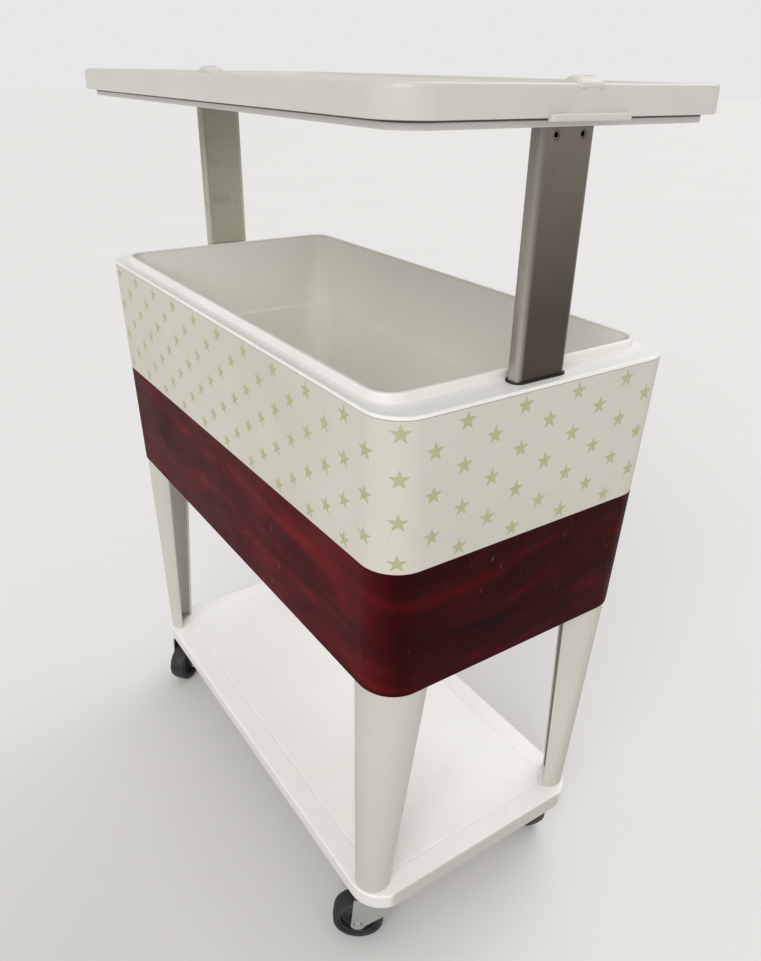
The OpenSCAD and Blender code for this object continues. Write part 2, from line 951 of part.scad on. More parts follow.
module lid_seal() {
    low = rim_z + lip_h + lid_travel + seat_gap;
    color("#303030")
        frame_loft([
            well(low, 0, -2),
            well(low, 0, lip_t + 1.5),
            well(pan_z, 0, lip_t + 1.5),
            well(pan_z, 0, -2)
        ]);
}

// Columns

stem_r = 3;
rod_r = 3.5;
arm_w = 6;
arm_t = 3.6;
arm_z = column_top_z - 4;
collar_r = 5.4;
spring_h = 16;
head_low_z = column_top_z - 48;
spring_z = column_top_z - 26;
head_plate_t = 26;
head_plate_w = 76;
screw_z = column_top_z - 32;
screw_y = 17;
screw_head_r = 4.5;
cavity = column_wall + 0.2;
shoe_h = 10;
shoe_w = 24;
foot_h = 48;
shoe_z = column_foot_z + 20;
shoe_travel = 1.5;
tongue_lean = shoe_travel / button_travel;
tongue_w = 8;
tongue_t = 3;
tongue_off = 1.3;

module column(sx) {
    color("gray")
        at_end(sx)
            difference() {
                column_block(0, column_foot_z, column_top_z);
                column_block(-column_wall, column_foot_z - 1, column_top_z + 1);
                for (y = [-screw_y, screw_y])
                    translate([column_x, y, screw_z])
                        rotate([0, 90, 0])
                            cylinder(r = screw_head_r + 0.2, h = column_t);
                translate([column_x, -shoe_w / 2 - seat_gap, shoe_z - seat_gap])
                    cube([column_t, shoe_w + 2 * seat_gap, shoe_h + 2 * seat_gap]);
                translate([column_x, -arm_w / 2 - 0.5, arm_z - button_travel - 0.4])
                    cube([column_t, arm_w + 1, column_top_z]);
            }
}

// The block that fills a column's top and carries the lid on its flange
module column_head(sx) {
    color("dimgray")
        at_end(sx)
            difference() {
                union() {
                    column_block(-cavity, head_low_z, column_top_z + 0.2);
                    translate([column_x, 0, column_top_z + 0.2])
                        linear_extrude(ceiling_z - column_top_z - 0.4)
                            plate2d(head_plate_t, head_plate_w, column_r);
                }
                translate([column_x, 0, head_low_z - 1])
                    cylinder(r = rod_r + run_gap, h = column_top_z - head_low_z + 1);
                translate([column_x, -arm_w / 2 - 0.5, arm_z - button_travel - 0.4])
                    cube([column_t, arm_w + 1, column_top_z - arm_z + button_travel + 0.6]);
                translate([column_x, 0, spring_z])
                    cylinder(r = collar_r + 0.4, h = column_top_z - spring_z + 0.2);
                for (y = [-screw_y, screw_y])
                    translate([column_x, y, screw_z])
                        rotate([0, 90, 0])
                            cylinder(r = 2, h = column_t);
            }
}

module column_screws() {
    color("black")
        for (sx = [-1, 1], y = [-screw_y, screw_y])
            at_end(sx)
                translate([column_x, y, screw_z])
                    rotate([0, 90, 0]) {
                        cylinder(r = 2, h = column_t / 2 - cavity);
                        difference() {
                            translate([0, 0, column_t / 2 - cavity])
                                cylinder(r = screw_head_r, h = cavity - 0.4);
                            translate([0, 0, column_t / 2 - 1.4])
                                cylinder(r = 2, h = 2, $fn = 6);
                        }
                    }
}

// The block in a column's lower end that guides the brake shoe
module column_foot(sx) {
    slot_x = column_x - column_t / 2 + cavity + 1;
    color("dimgray")
        at_end(sx)
            difference() {
                column_block(-cavity, column_foot_z, column_foot_z + foot_h);
                translate([slot_x, -tongue_w / 2 - 1.5, column_foot_z + 4])
                    cube([column_t - 2 * cavity - 2, tongue_w + 3, foot_h]);
                translate([slot_x, -shoe_w / 2 - seat_gap, shoe_z - seat_gap])
                    cube([column_t, shoe_w + 2 * seat_gap, shoe_h + 2 * seat_gap]);
            }
}

// A leaning slab seen from the side: g is its growth, from z0 to z1
module tongue2d(g, z0, z1) {
    mid = shoe_z + shoe_h / 2;
    half = tongue_t / 2 + g;
    x0 = -tongue_lean * (z0 - mid);
    x1 = -tongue_lean * (z1 - mid);
    polygon([[x0 - half, z0], [x0 + half, z0], [x1 + half, z1], [x1 - half, z1]]);
}

module tongue_slab(g, z0, z1, w) {
    translate([column_x + tongue_off, w / 2, 0])
        rotate([90, 0, 0])
            linear_extrude(w)
                tongue2d(g, z0, z1);
}

module brake_shoe(sx) {
    in_x = column_x - column_t / 2 + cavity + 1 + shoe_travel + seat_gap;
    out_x = column_x + column_t / 2 + column_gap - seat_gap;
    color("#303030")
        at_end(sx)
            difference() {
                translate([in_x, -shoe_w / 2, shoe_z])
                    cube([out_x - in_x, shoe_w, shoe_h]);
                tongue_slab(0.35, shoe_z - 1, shoe_z + shoe_h + 1, tongue_w + 0.8);
            }
}

rod_join_z = head_low_z - 6;

module push_rod(sx) {
    low = shoe_z - 1;
    high = shoe_z + shoe_h + button_travel + 1;
    color("silver")
        at_end(sx) {
            tongue_slab(0, low, high + 1, tongue_w);
            translate([column_x - 5, -tongue_w / 2, high])
                cube([10, tongue_w, 5]);
            translate([column_x, 0, high + 4])
                cylinder(r = rod_r, h = rod_join_z - high - 4);
        }
}

cap_h = 5;
button_proud = 2.5;
button_top_z = lid_top_z + knob_h + button_proud;

// The button's cap and stem, and the arm that reaches over to the rod in the column
module release_button(sx) {
    color("white")
        at_end(sx) {
            translate([button_x, 0, button_top_z - cap_h])
                cylinder(r = button_r, h = cap_h - 0.6);
            translate([button_x, 0, button_top_z - 0.6])
                cylinder(r1 = button_r, r2 = button_r - 0.6, h = 0.6);
            translate([button_x, 0, arm_z])
                cylinder(r = stem_r, h = button_top_z - cap_h - arm_z + 1);
            translate([column_x, -arm_w / 2, arm_z])
                cube([button_x - column_x, arm_w, arm_t]);
            translate([column_x, 0, rod_join_z])
                cylinder(r = rod_r, h = arm_z + arm_t - rod_join_z);
            translate([column_x, 0, spring_z + spring_h])
                cylinder(r = collar_r, h = 2);
        }
}

module button_spring(sx) {
    color("silver")
        at_end(sx)
            translate([column_x, 0, spring_z])
                difference() {
                    cylinder(r = collar_r - 0.2, h = spring_h);
                    translate([0, 0, -1])
                        cylinder(r = rod_r + 0.4, h = spring_h + 2);
                }
}

// Grips

ledge_z = lid_z - 2.8;
knob_top_z = lid_top_z + knob_h;

// The part on the lid's end wall: a ledge whose flare narrows up to the knob
module grip_skirt() {
    wall_x = lid_l / 2;
    in_x = wall_x - cover_t + 0.2;
    ledge_x = wall_x + ledge_out;
    top = ledge_z + ledge_t;
    rise = lid_top_z - top;
    loft([
        grip_ring(in_x, ledge_x - 0.8, ledge_w - 1.6, 2, ledge_z),
        grip_ring(in_x, ledge_x, ledge_w, 3, ledge_z + 0.8),
        grip_ring(in_x, ledge_x, ledge_w, 3, top - 0.8),
        grip_ring(in_x, ledge_x - 0.8, ledge_w - 2.5, 3, top),
        grip_ring(in_x, wall_x + 2.6, 0.88 * ledge_w, 2, top + 0.08 * rise),
        grip_ring(in_x, wall_x + 1.8, 0.76 * ledge_w, 1.2, top + 0.22 * rise),
        grip_ring(in_x, wall_x + 1.3, 0.63 * ledge_w, 1.2, top + 0.42 * rise),
        grip_ring(in_x, wall_x + 1, 0.5 * ledge_w, 1.2, top + 0.64 * rise),
        grip_ring(in_x, wall_x + 0.8, 0.4 * ledge_w, 1.2, top + 0.84 * rise),
        grip_ring(in_x, wall_x - 0.2, 0.32 * ledge_w, 1.2, lid_top_z)
    ]);
}

// The part on the lid's top: a knob with a ramp down to the tray behind it
module grip_knob() {
    out_x = button_x + knob_l / 2;
    in_x = button_x - knob_l / 2;
    base_x = in_x - ramp_l;
    edge_x = lid_l / 2 - 0.4;
    rise = knob_top_z - tray_z;
    loft([
        grip_ring(base_x, edge_x, knob_w + 10, 5, tray_z),
        grip_ring(base_x + 0.24 * ramp_l, edge_x, knob_w + 9.5, 5, tray_z + 0.08 * rise),
        grip_ring(base_x + 0.46 * ramp_l, edge_x, knob_w + 9, 5, tray_z + 0.18 * rise),
        grip_ring(base_x + 0.68 * ramp_l, edge_x, knob_w + 8.4, 5, tray_z + 0.33 * rise),
        grip_ring(base_x + 0.82 * ramp_l, edge_x - 1, knob_w + 7, 5, tray_z + 0.47 * rise),
        grip_ring(base_x + 0.92 * ramp_l, out_x + 2, knob_w + 3, 6, tray_z + 0.64 * rise),
        grip_ring(in_x - 0.8, out_x + 0.8, knob_w + 0.8, 6.5, tray_z + 0.84 * rise),
        grip_ring(in_x + 0.2, out_x - 0.2, knob_w - 0.6, 6.5, knob_top_z - 0.5),
        grip_ring(in_x + 1, out_x - 1, knob_w - 2, 6, knob_top_z)
    ]);
}

module grip(sx) {
    color("white")
        at_end(sx)
            difference() {
                union() {
                    difference() {
                        union() {
                            grip_skirt();
                            grip_knob();
                        }
                        loft(concat([lid_ring(lid_z - 0.15, cover_t + 0.2)], cover_outside(0.15)));
                    }
                    grip_seat(0, tray_z - seat_d, tray_z + 0.4);
                }
                translate([button_x, 0, tray_z + 3.2])
                    cylinder(r = button_r + 0.4, h = 3 * knob_h);
                translate([button_x, 0, tray_z - 5])
                    cylinder(r = stem_r + 0.6, h = 20);
            }
}

tub_shell();
printed_wrap();
tub_liner();
tub_foam();
rim_frame();
column_gasket(1);  // column_gasket_right
column_gasket(-1);  // column_gasket_left
column_sleeve(1);  // column_sleeve_right
column_sleeve(-1);  // column_sleeve_left
leg(1, -1);  // leg_front_right
leg(-1, -1);  // leg_front_left
leg(1, 1);  // leg_rear_right
leg(-1, 1);  // leg_rear_left
base_shelf();
drain_fitting();
drain_nut();
drain_cap();
leg_screws();
caster_screws();
caster_plate(0);  // caster_plate_front_right
caster_plate(1);  // caster_plate_front_left
caster_plate(2);  // caster_plate_rear_right
caster_plate(3);  // caster_plate_rear_left
fork(0);  // fork_front_right
fork(1);  // fork_front_left
fork(2);  // fork_rear_right
fork(3);  // fork_rear_left
axle(0);  // axle_front_right
axle(1);  // axle_front_left
axle(2);  // axle_rear_right
axle(3);  // axle_rear_left
hub(0);  // hub_front_right
hub(1);  // hub_front_left
hub(2);  // hub_rear_right
hub(3);  // hub_rear_left
tyre(0);  // tyre_front_right
tyre(1);  // tyre_front_left
tyre(2);  // tyre_rear_right
tyre(3);  // tyre_rear_left
lid_cover();
lid_pan();
lid_foam();
lid_seal();
column(1);  // column_right
column(-1);  // column_left
column_head(1);  // column_head_right
column_head(-1);  // column_head_left
column_foot(1);  // column_foot_right
column_foot(-1);  // column_foot_left
column_screws();
grip(1);  // grip_right
grip(-1);  // grip_left
release_button(1);  // release_button_right
release_button(-1);  // release_button_left
push_rod(1);  // push_rod_right
push_rod(-1);  // push_rod_left
button_spring(1);  // button_spring_right
button_spring(-1);  // button_spring_left
brake_shoe(1);  // brake_shoe_right
brake_shoe(-1);  // brake_shoe_left
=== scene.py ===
import json
import math

import bpy
import numpy as np
from mathutils import Matrix, Vector


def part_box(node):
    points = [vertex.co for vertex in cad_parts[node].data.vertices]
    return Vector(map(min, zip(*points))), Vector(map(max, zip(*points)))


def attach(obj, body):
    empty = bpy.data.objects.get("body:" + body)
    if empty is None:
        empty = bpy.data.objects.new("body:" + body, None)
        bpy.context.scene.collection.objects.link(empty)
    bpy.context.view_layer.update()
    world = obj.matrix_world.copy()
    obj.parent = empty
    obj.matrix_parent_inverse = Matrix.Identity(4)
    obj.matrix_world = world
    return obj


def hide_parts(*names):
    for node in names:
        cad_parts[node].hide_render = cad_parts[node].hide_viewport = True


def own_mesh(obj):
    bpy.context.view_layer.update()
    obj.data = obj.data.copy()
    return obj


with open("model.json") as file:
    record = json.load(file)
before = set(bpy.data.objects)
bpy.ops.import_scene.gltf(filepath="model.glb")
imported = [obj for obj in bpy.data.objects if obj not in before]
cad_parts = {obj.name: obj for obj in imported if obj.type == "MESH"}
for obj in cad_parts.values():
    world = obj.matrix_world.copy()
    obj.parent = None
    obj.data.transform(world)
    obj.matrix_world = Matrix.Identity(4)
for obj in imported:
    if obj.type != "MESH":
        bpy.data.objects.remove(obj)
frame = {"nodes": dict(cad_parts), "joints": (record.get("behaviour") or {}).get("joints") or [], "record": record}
nodes = frame["nodes"]
joints = {j["name"]: j for j in frame["joints"]}
slotOf = {s["node"]: s["material_slot"] for s in frame["record"]["subparts"]}
mm = 0.001
cartCorners = ("front_right", "front_left", "rear_right", "rear_left")
cartEnds = (("right", 1), ("left", -1))  # name of each end and the sign of x there


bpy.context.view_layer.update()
print("frame loaded:", len(nodes), "nodes")

# Grids, outlines and sections, all in millimetres

look = {
    "cornerSteps": 26,  # segments in each quarter of a rounded outline
    "boxSteps": 14,  # the same in the grips' small outlines
    "filletSteps": 5,  # segments in each rounded edge of a section
    "filletShare": 0.49,  # the most of a section's side that one fillet takes up
    "leastRadius": 0.2,  # what is left of a corner's radius where it is drawn in
    "sliver": 0.01,  # half the shortest straight side between two rounded corners
    "smoothAngle": 32,  # edges bent more than this stay sharp, in degrees
}


def stack(x, y, height):
    # rings of points: a row of x and y for each height
    return np.stack([x, y, np.repeat(np.ravel(height)[:, None], x.shape[1], 1)], 2)


def outline(halfX, halfY, radius, steps=None, midX=0.0):
    # quarter circles of the given radius about the four corner centres, joined by straight sides
    steps = steps or look["cornerSteps"]
    sizes = (halfX, halfY, radius, midX)
    halfX, halfY, radius, midX = (np.atleast_1d(v).astype(float)[:, None] for v in sizes)
    quarter = np.repeat(np.arange(4), steps + 1)
    angle = (quarter * 90 + np.tile(np.linspace(0, 90, steps + 1), 4)) * math.pi / 180
    signX = np.where((quarter == 0) | (quarter == 3), 1, -1)
    signY = np.where(quarter < 2, 1, -1)
    x = signX * (halfX - radius) + radius * np.cos(angle) + midX
    y = signY * (halfY - radius) + radius * np.sin(angle)
    return x, y


def section(points):
    # each corner B is a parabola, (1-t)^2 A + 2t(1-t) B + t^2 C, with A and C a fillet's length away from it
    points = [tuple(p) + (0.0,) * (3 - len(p)) for p in points]
    out = []
    t = np.linspace(0, 1, look["filletSteps"] + 1)[:, None]
    for k, (a, b, fillet) in enumerate(points):
        here = np.array([a, b])
        if fillet == 0 or k in (0, len(points) - 1):
            out.append(here[None])
            continue
        before = np.array(points[k - 1][:2]) - here
        after = np.array(points[k + 1][:2]) - here
        start = here + before * min(fillet / np.linalg.norm(before), look["filletShare"])
        end = here + after * min(fillet / np.linalg.norm(after), look["filletShare"])
        out.append((1 - t) ** 2 * start + 2 * t * (1 - t) * here + t**2 * end)
    return np.vstack(out)


def loft(path, sizeAt):
    # a ring at each section point: the outline at that height, drawn in by the section's first number
    inset, height = path[:, 0], path[:, 1]
    halfX, halfY, radius = sizeAt(height)
    radius = np.maximum(radius - inset, look["leastRadius"])
    return stack(*outline(halfX - inset, halfY - inset, radius), height)


def revolve(path, steps, origin, axis):
    # a circle of each radius about the axis, at each distance along it
    axis = np.array(axis, float) / np.linalg.norm(axis)
    side = np.cross(axis, [0, 0, 1.0])
    side /= np.linalg.norm(side)
    up = np.cross(axis, side)
    turn = np.linspace(0, 2 * math.pi, steps, endpoint=False)
    circle = np.cos(turn)[:, None] * side + np.sin(turn)[:, None] * up
    return np.array(origin) + path[:, 1][:, None, None] * axis + path[:, 0][:, None, None] * circle


def gridFaces(rows, cols, closed=True):
    # a quad for each step along a row and up a column, the last column joined to the first where it is closed
    i, j = np.meshgrid(np.arange(rows - 1), np.arange(cols if closed else cols - 1), indexing="ij")
    here, across = i * cols + j, i * cols + (j + 1) % cols
    return np.stack([here, across, across + cols, here + cols], -1).reshape(-1, 4)


def loftFaces(rings, capStart=False, capEnd=False, offset=0):
    # the quads between the rings, and a flat face over the first or the last one
    rows, cols = rings.shape[:2]
    faces = (gridFaces(rows, cols) + offset).tolist()
    if capStart:
        faces.append(list(range(offset, offset + cols))[::-1])
    if capEnd:
        faces.append(list(range(offset + (rows - 1) * cols, offset + rows * cols)))
    return faces


def makePiece(name, verts, faces, finish, slot, body, uv=None):
    # a smooth piece with its sharp edges kept, at the origin, with its finish and on its body; slot is not used
    mesh = bpy.data.meshes.new(name)
    mesh.from_pydata((np.asarray(verts) * mm).tolist(), [], [tuple(f) for f in faces])
    if uv is not None:
        layer = mesh.uv_layers.new(name="flat")
        layer.data.foreach_set("uv", np.asarray(uv, np.float32).ravel())
    mesh.shade_smooth()
    mesh.set_sharp_from_angle(angle=math.radians(look["smoothAngle"]))
    mesh.materials.append(finish)
    piece = bpy.data.objects.new(name, mesh)
    bpy.context.scene.collection.objects.link(piece)
    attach(piece, body)
    return piece


def loftPiece(name, rings, finish, slot, body, capStart=False, capEnd=False):
    return makePiece(name, rings.reshape(-1, 3), loftFaces(rings, capStart, capEnd), finish, slot, body)


# Materials


def linear(rgb):
    # screen values 0 to 255 turned into light: ((c + 0.055) / 1.055) ^ 2.4
    c = np.array(rgb, float) / 255
    return tuple(np.where(c <= 0.04045, c / 12.92, ((c + 0.055) / 1.055) ** 2.4)) + (1.0,)


class Shader:
    # a thin hand on one material's node tree
    def __init__(self, name):
        self.material = bpy.data.materials.new(name)
        self.material.use_nodes = True
        self.tree = self.material.node_tree
        self.principled = self.tree.nodes["Principled BSDF"]

    def put(self, socket, value):
        if isinstance(value, bpy.types.NodeSocket):
            self.tree.links.new(value, socket)
        elif value is not None:
            socket.default_value = value

    def node(self, kind, inputs=(), **settings):
        made = self.tree.nodes.new(kind)
        for key, value in settings.items():
            setattr(made, key, value)
        for key, value in dict(inputs).items():
            self.put(made.inputs[key], value)
        return made

    def math(self, operation, a, b=None, c=None):
        made = self.tree.nodes.new("ShaderNodeMath")
        made.operation = operation
        for k, value in enumerate((a, b, c)):
            self.put(made.inputs[k], value)
        return made.outputs[0]

    def place(self, scale=(1, 1, 1)):
        coords = self.node("ShaderNodeTexCoord").outputs["Object"]
        if scale == (1, 1, 1):
            return coords
        return self.node("ShaderNodeMapping", {"Vector": coords, "Scale": scale}).outputs[0]

    def sides(self, vector=None):
        # x, y and z of a point, in metres
        return self.node("ShaderNodeSeparateXYZ", {"Vector": vector or self.place()}).outputs

    def length(self, a, b):
        # the root of a squared plus b squared
        return self.math("SQRT", self.math("ADD", self.math("MULTIPLY", a, a), self.math("MULTIPLY", b, b)))

    def noise(self, scale, detail=3.0, rough=0.5, stretch=(1, 1, 1), distortion=0.0, vector=None):
        return self.node("ShaderNodeTexNoise", {
            "Vector": vector or self.place(stretch), "Scale": scale, "Detail": detail,
            "Roughness": rough, "Distortion": distortion,
        }).outputs["Fac"]

    def span(self, value, fromLow, fromHigh, toLow, toHigh):
        return self.node("ShaderNodeMapRange", {
            "Value": value, "From Min": fromLow, "From Max": fromHigh, "To Min": toLow, "To Max": toHigh,
        }).outputs["Result"]

    def mix(self, factor, a, b, blend="MIX"):
        made = self.tree.nodes.new("ShaderNodeMix")
        made.data_type = "RGBA"
        made.blend_type = blend
        # the node's inputs 6 and 7 and its output 2 are the ones for colors
        for k, value in ((0, factor), (6, a), (7, b)):
            self.put(made.inputs[k], value)
        return made.outputs[2]

    def dim(self, color, places):
        # painted shade, or painted light where the color is paler, along an axis, either way from the middle, by a
        # row of
        # numbers for each place: the axis, where the tint starts, where it is full, its strength and its color
        sides = self.sides()
        for axis, start, full, strength, tint in places:
            along = self.math("ABSOLUTE", sides[axis])
            color = self.mix(self.span(along, start, full, 0, strength), color, linear(tint))
        return color

    def finish(self, color, rough, bump, bumpDepth, metal=None, edge=0.0):
        inputs = self.principled.inputs
        self.put(inputs["Base Color"], color)
        self.put(inputs["Roughness"], rough)
        self.put(inputs["Metallic"], metal)
        normal = None
        if edge:
            normal = self.node("ShaderNodeBevel", {"Radius": edge}, samples=4).outputs[0]
        self.put(inputs["Normal"], self.node("ShaderNodeBump", {
            "Height": bump, "Distance": bumpDepth, "Strength": 1.0, "Normal": normal,
        }).outputs[0])
        return self.material


edgeRound = {"white": 0.0012, "metal": 0.0008, "plain": 0.0006}  # shaded rounding of sharp edges, in metres

legPaint = {
    "tint": (203, 200, 190), "shade": (193, 190, 180), "scuff": (140, 132, 120),
    "rough": (0.32, 0.46), "ripple": 0.00008, "scuffs": 0.35,
}

whites = {
    "white_plastic": {
        "tint": (213, 210, 204), "shade": (204, 201, 194), "scuff": (140, 132, 120),
        "rough": (0.24, 0.36), "ripple": 0.00012, "scuffs": 0.3,
    },
    # a brighter copy of the white plastic for the rim: painted light that makes up for the lid's shade over it
    "rim_plastic": {
        "tint": (247, 246, 242), "shade": (240, 239, 234), "scuff": (160, 152, 140),
        "rough": (0.22, 0.34), "ripple": 0.0001, "scuffs": 0.3,
    },
    "white_paint": {
        "tint": (212, 209, 200), "shade": (202, 199, 190), "scuff": (140, 132, 120),
        "rough": (0.30, 0.45), "ripple": 0.00008, "scuffs": 0.4,
    },
    "shelf_plastic": {
        "tint": (247, 246, 244), "shade": (240, 238, 235), "scuff": (165, 156, 142),
        "rough": (0.32, 0.46), "ripple": 0.00008, "scuffs": 0.5,
        # painted shade on the shelf's edge below its top, darker still on its ends
        "dim": [(2, 0.1195, 0.1165, 1.0, (224, 221, 216)), (0, 0.3832, 0.3852, 0.9, (186, 183, 175))],
    },
    "leg_paint": legPaint,
    # a copy of the leg paint with painted shade across the rear right leg, darker towards its back
    "leg_paint_rear": {**legPaint, "dim": [(1, 0.150, 0.186, 0.9, (168, 161, 149))]},
    "inner_tub": {
        "tint": (247, 245, 237), "shade": (241, 239, 230), "scuff": (175, 166, 150),
        "rough": (0.35, 0.5), "ripple": 0.0001, "scuffs": 0.3,
    },
    "pan_plastic": {
        "tint": (232, 229, 223), "shade": (220, 217, 211), "scuff": (130, 124, 115),
        "rough": (0.4, 0.55), "ripple": 0.0001, "scuffs": 0.4,
        # painted shade in the gap under the lid's cover
        "dim": [(2, 1.0902, 1.0912, 1.0, (84, 78, 72))],
    },
}


def whiteFinish(name, s, edge=0.0):
    # clouded white, with fine scuffs where two noises meet and the faint peel of moulded plastic
    h = Shader(name)
    cloud = h.noise(3.0, 4.0, 0.6)
    color = h.mix(h.span(cloud, 0.35, 0.7, 0, 1), linear(s["tint"]), linear(s["shade"]))
    # painted shade along an axis, where the finish lists it
    color = h.dim(color, s.get("dim", []))
    fine = h.noise(55.0, 6.0, 0.65, stretch=(1, 1, 3))
    spots = h.span(h.noise(9.0, 5.0, 0.7), 0.56, 0.74, 0, s["scuffs"])
    marks = h.math("MULTIPLY", spots, h.span(fine, 0.58, 0.74, 0, 1))
    color = h.mix(marks, color, linear(s["scuff"]))
    rough = h.span(h.noise(14.0, 4.0), 0.3, 0.7, *s["rough"])
    return h.finish(color, rough, h.noise(420.0, 2.0), s["ripple"], edge=edge)


printLook = {
    "columns": 62,  # star columns round the tub
    "columnShift": 1.5,  # where the first column stands, in pitches
    "rowPitch": 0.0492,  # lengths of the print are in metres
    "firstRow": 0.018,  # star centres below the rim in every other column
    "rowStagger": 0.0243,
    "starOuter": 0.0118,
    "starInner": 0.0047,
    "bandTop": 0.179,  # below the rim
    "crisp": 0.0003,  # half the width of a printed edge
    "ground": (212, 208, 198),
    "groundShade": (203, 199, 188),
    "star": (172, 177, 134),
    "starShade": (188, 190, 152),
    "bandColors": [(0.32, (44, 12, 15)), (0.52, (76, 17, 21)), (0.7, (112, 23, 28))],
    "endsFrom": (0.375, 0.398),  # along the tub, where its rounded ends begin
    "bandEndShade": (0.44, 0.38, 0.33, 1.0),  # painted shade: what the band keeps of each colour on the tub's ends
    "scratch": (170, 158, 150),
    "shine": 0.03,
}


def starAmount(h, p, u, depth, pitch):
    # star edge: outer * inner * sin 36 / (outer sin a + inner sin(36 - a)), a folded into 0 to 36 degrees
    cell = h.math("ADD", h.math("DIVIDE", u, pitch), p["columnShift"])
    column = h.math("FLOOR", cell)
    across = h.math("MULTIPLY", h.math("SUBTRACT", h.math("FRACT", cell), 0.5), pitch)
    odd = h.math("FLOORED_MODULO", column, 2.0)
    start = h.math("MULTIPLY_ADD", odd, p["rowStagger"], p["firstRow"])
    row = h.math("DIVIDE", h.math("SUBTRACT", depth, start), p["rowPitch"])
    down = h.math("MULTIPLY", h.math("SUBTRACT", row, h.math("ROUND", row)), p["rowPitch"])
    fifth = math.pi * 2 / 5
    turn = h.math("ADD", h.math("ARCTAN2", across, h.math("MULTIPLY", down, -1.0)), fifth / 2)
    folded = h.math("ABSOLUTE", h.math("SUBTRACT", h.math("FLOORED_MODULO", turn, fifth), fifth / 2))
    outer = h.math("MULTIPLY", h.math("SINE", folded), p["starOuter"])
    inner = h.math("MULTIPLY", h.math("SINE", h.math("SUBTRACT", fifth / 2, folded)), p["starInner"])
    tip = p["starOuter"] * p["starInner"] * math.sin(fifth / 2)
    edge = h.math("DIVIDE", tip, h.math("ADD", outer, inner))
    return h.span(h.math("SUBTRACT", edge, h.length(across, down)), -p["crisp"], p["crisp"], 0, 1)


def printFinish(p, around, top):
    # stars in staggered columns on a pale ground, a dark band below them, and fine scratches over both
    h = Shader("printed_film")
    uv = h.node("ShaderNodeUVMap", uv_map="flat").outputs[0]
    split = h.sides(uv)
    depth = h.math("SUBTRACT", top, split[1])
    star = starAmount(h, p, split[0], depth, around / p["columns"])
    worn = h.span(h.noise(160.0, 5.0, 0.7), 0.25, 0.45, 0.75, 1.0)
    clouds = h.span(h.noise(4.0, 4.0, 0.6), 0.35, 0.7, 0, 1)
    ground = h.mix(clouds, linear(p["ground"]), linear(p["groundShade"]))
    starColor = h.mix(h.noise(30.0, 3.0), linear(p["star"]), linear(p["starShade"]))
    color = h.mix(h.math("MULTIPLY", star, worn), ground, starColor)
    # the band: wavy streaks along the tub, with painted shade on its ends
    drawnOut = h.node("ShaderNodeMapping", {"Vector": uv, "Scale": (1.6, 7.0, 1.0)}).outputs[0]
    band = h.node("ShaderNodeValToRGB", {"Fac": h.noise(2.2, 5.0, 0.6, vector=drawnOut, distortion=0.8)})
    (darkAt, dark), (midAt, middle), (lightAt, light) = p["bandColors"]
    ramp = band.color_ramp.elements
    ramp[0].position = darkAt
    ramp[0].color = linear(dark)
    ramp[1].position = lightAt
    ramp[1].color = linear(light)
    ramp.new(midAt).color = linear(middle)
    inBand = h.span(depth, p["bandTop"] - p["crisp"], p["bandTop"] + p["crisp"], 0, 1)
    onEnd = h.span(h.math("ABSOLUTE", h.sides()[0]), *p["endsFrom"], 0, 1)
    # painted shade: the band darkened on the tub's rounded ends
    shadedBand = h.mix(1.0, band.outputs[0], p["bandEndShade"], blend="MULTIPLY")
    color = h.mix(inBand, color, h.mix(onEnd, band.outputs[0], shadedBand))
    thin = h.span(h.noise(120.0, 6.0, 0.7, stretch=(1, 1, 0.25)), 0.64, 0.72, 0, 1)
    scratch = h.math("MULTIPLY", thin, h.span(h.noise(6.0, 3.0), 0.5, 0.62, 0, 0.45))
    color = h.mix(scratch, color, linear(p["scratch"]))
    rough = h.span(h.noise(12.0, 4.0), 0.3, 0.7, 0.4, 0.52)
    h.principled.inputs["Specular IOR Level"].default_value = p["shine"]
    return h.finish(color, rough, h.noise(7.0, 2.0), 0.0004)


drawn = (60, 60, 1.5)  # grain drawn out along a column
even = (20, 20, 20)
dirtTint = (70, 64, 58)

metals = {
    "column_metal": {
        "tint": (138, 132, 125), "shade": (122, 116, 108), "rough": (0.34, 0.46), "grain": drawn,
        # painted shade, darker towards the bottom
        "dim": [(2, 1.08, 0.91, 0.98, (84, 76, 67))],
        # painted highlight along the rounded long edges, stronger lower down
        "edgeHighlight": {
            "across": (0.0275, 0.0335), "height": (1.08, 0.86), "amount": (0.12, 0.75),
            "tint": (205, 201, 193),
        },
    },
    # a paler copy of the column metal for the far column: painted light, paler still towards the bottom
    "column_metal_pale": {
        "tint": (176, 174, 161), "shade": (162, 160, 147), "rough": (0.4, 0.5), "grain": drawn,
        "dim": [(2, 1.02, 0.88, 0.8, (214, 212, 198))],
    },
    "zinc": {"tint": (205, 206, 204), "shade": (170, 172, 172), "rough": (0.22, 0.4), "grain": even},
    "black_screw": {
        "tint": (150, 143, 134), "shade": (96, 90, 84), "rough": (0.3, 0.45), "grain": even,
        # painted shade of each screw's socket, a dark circle round its axis
        "socket": {"y": 0.017, "z": 1.0783, "radius": 0.0024, "soft": 0.0007, "tint": (14, 13, 12)},
    },
}


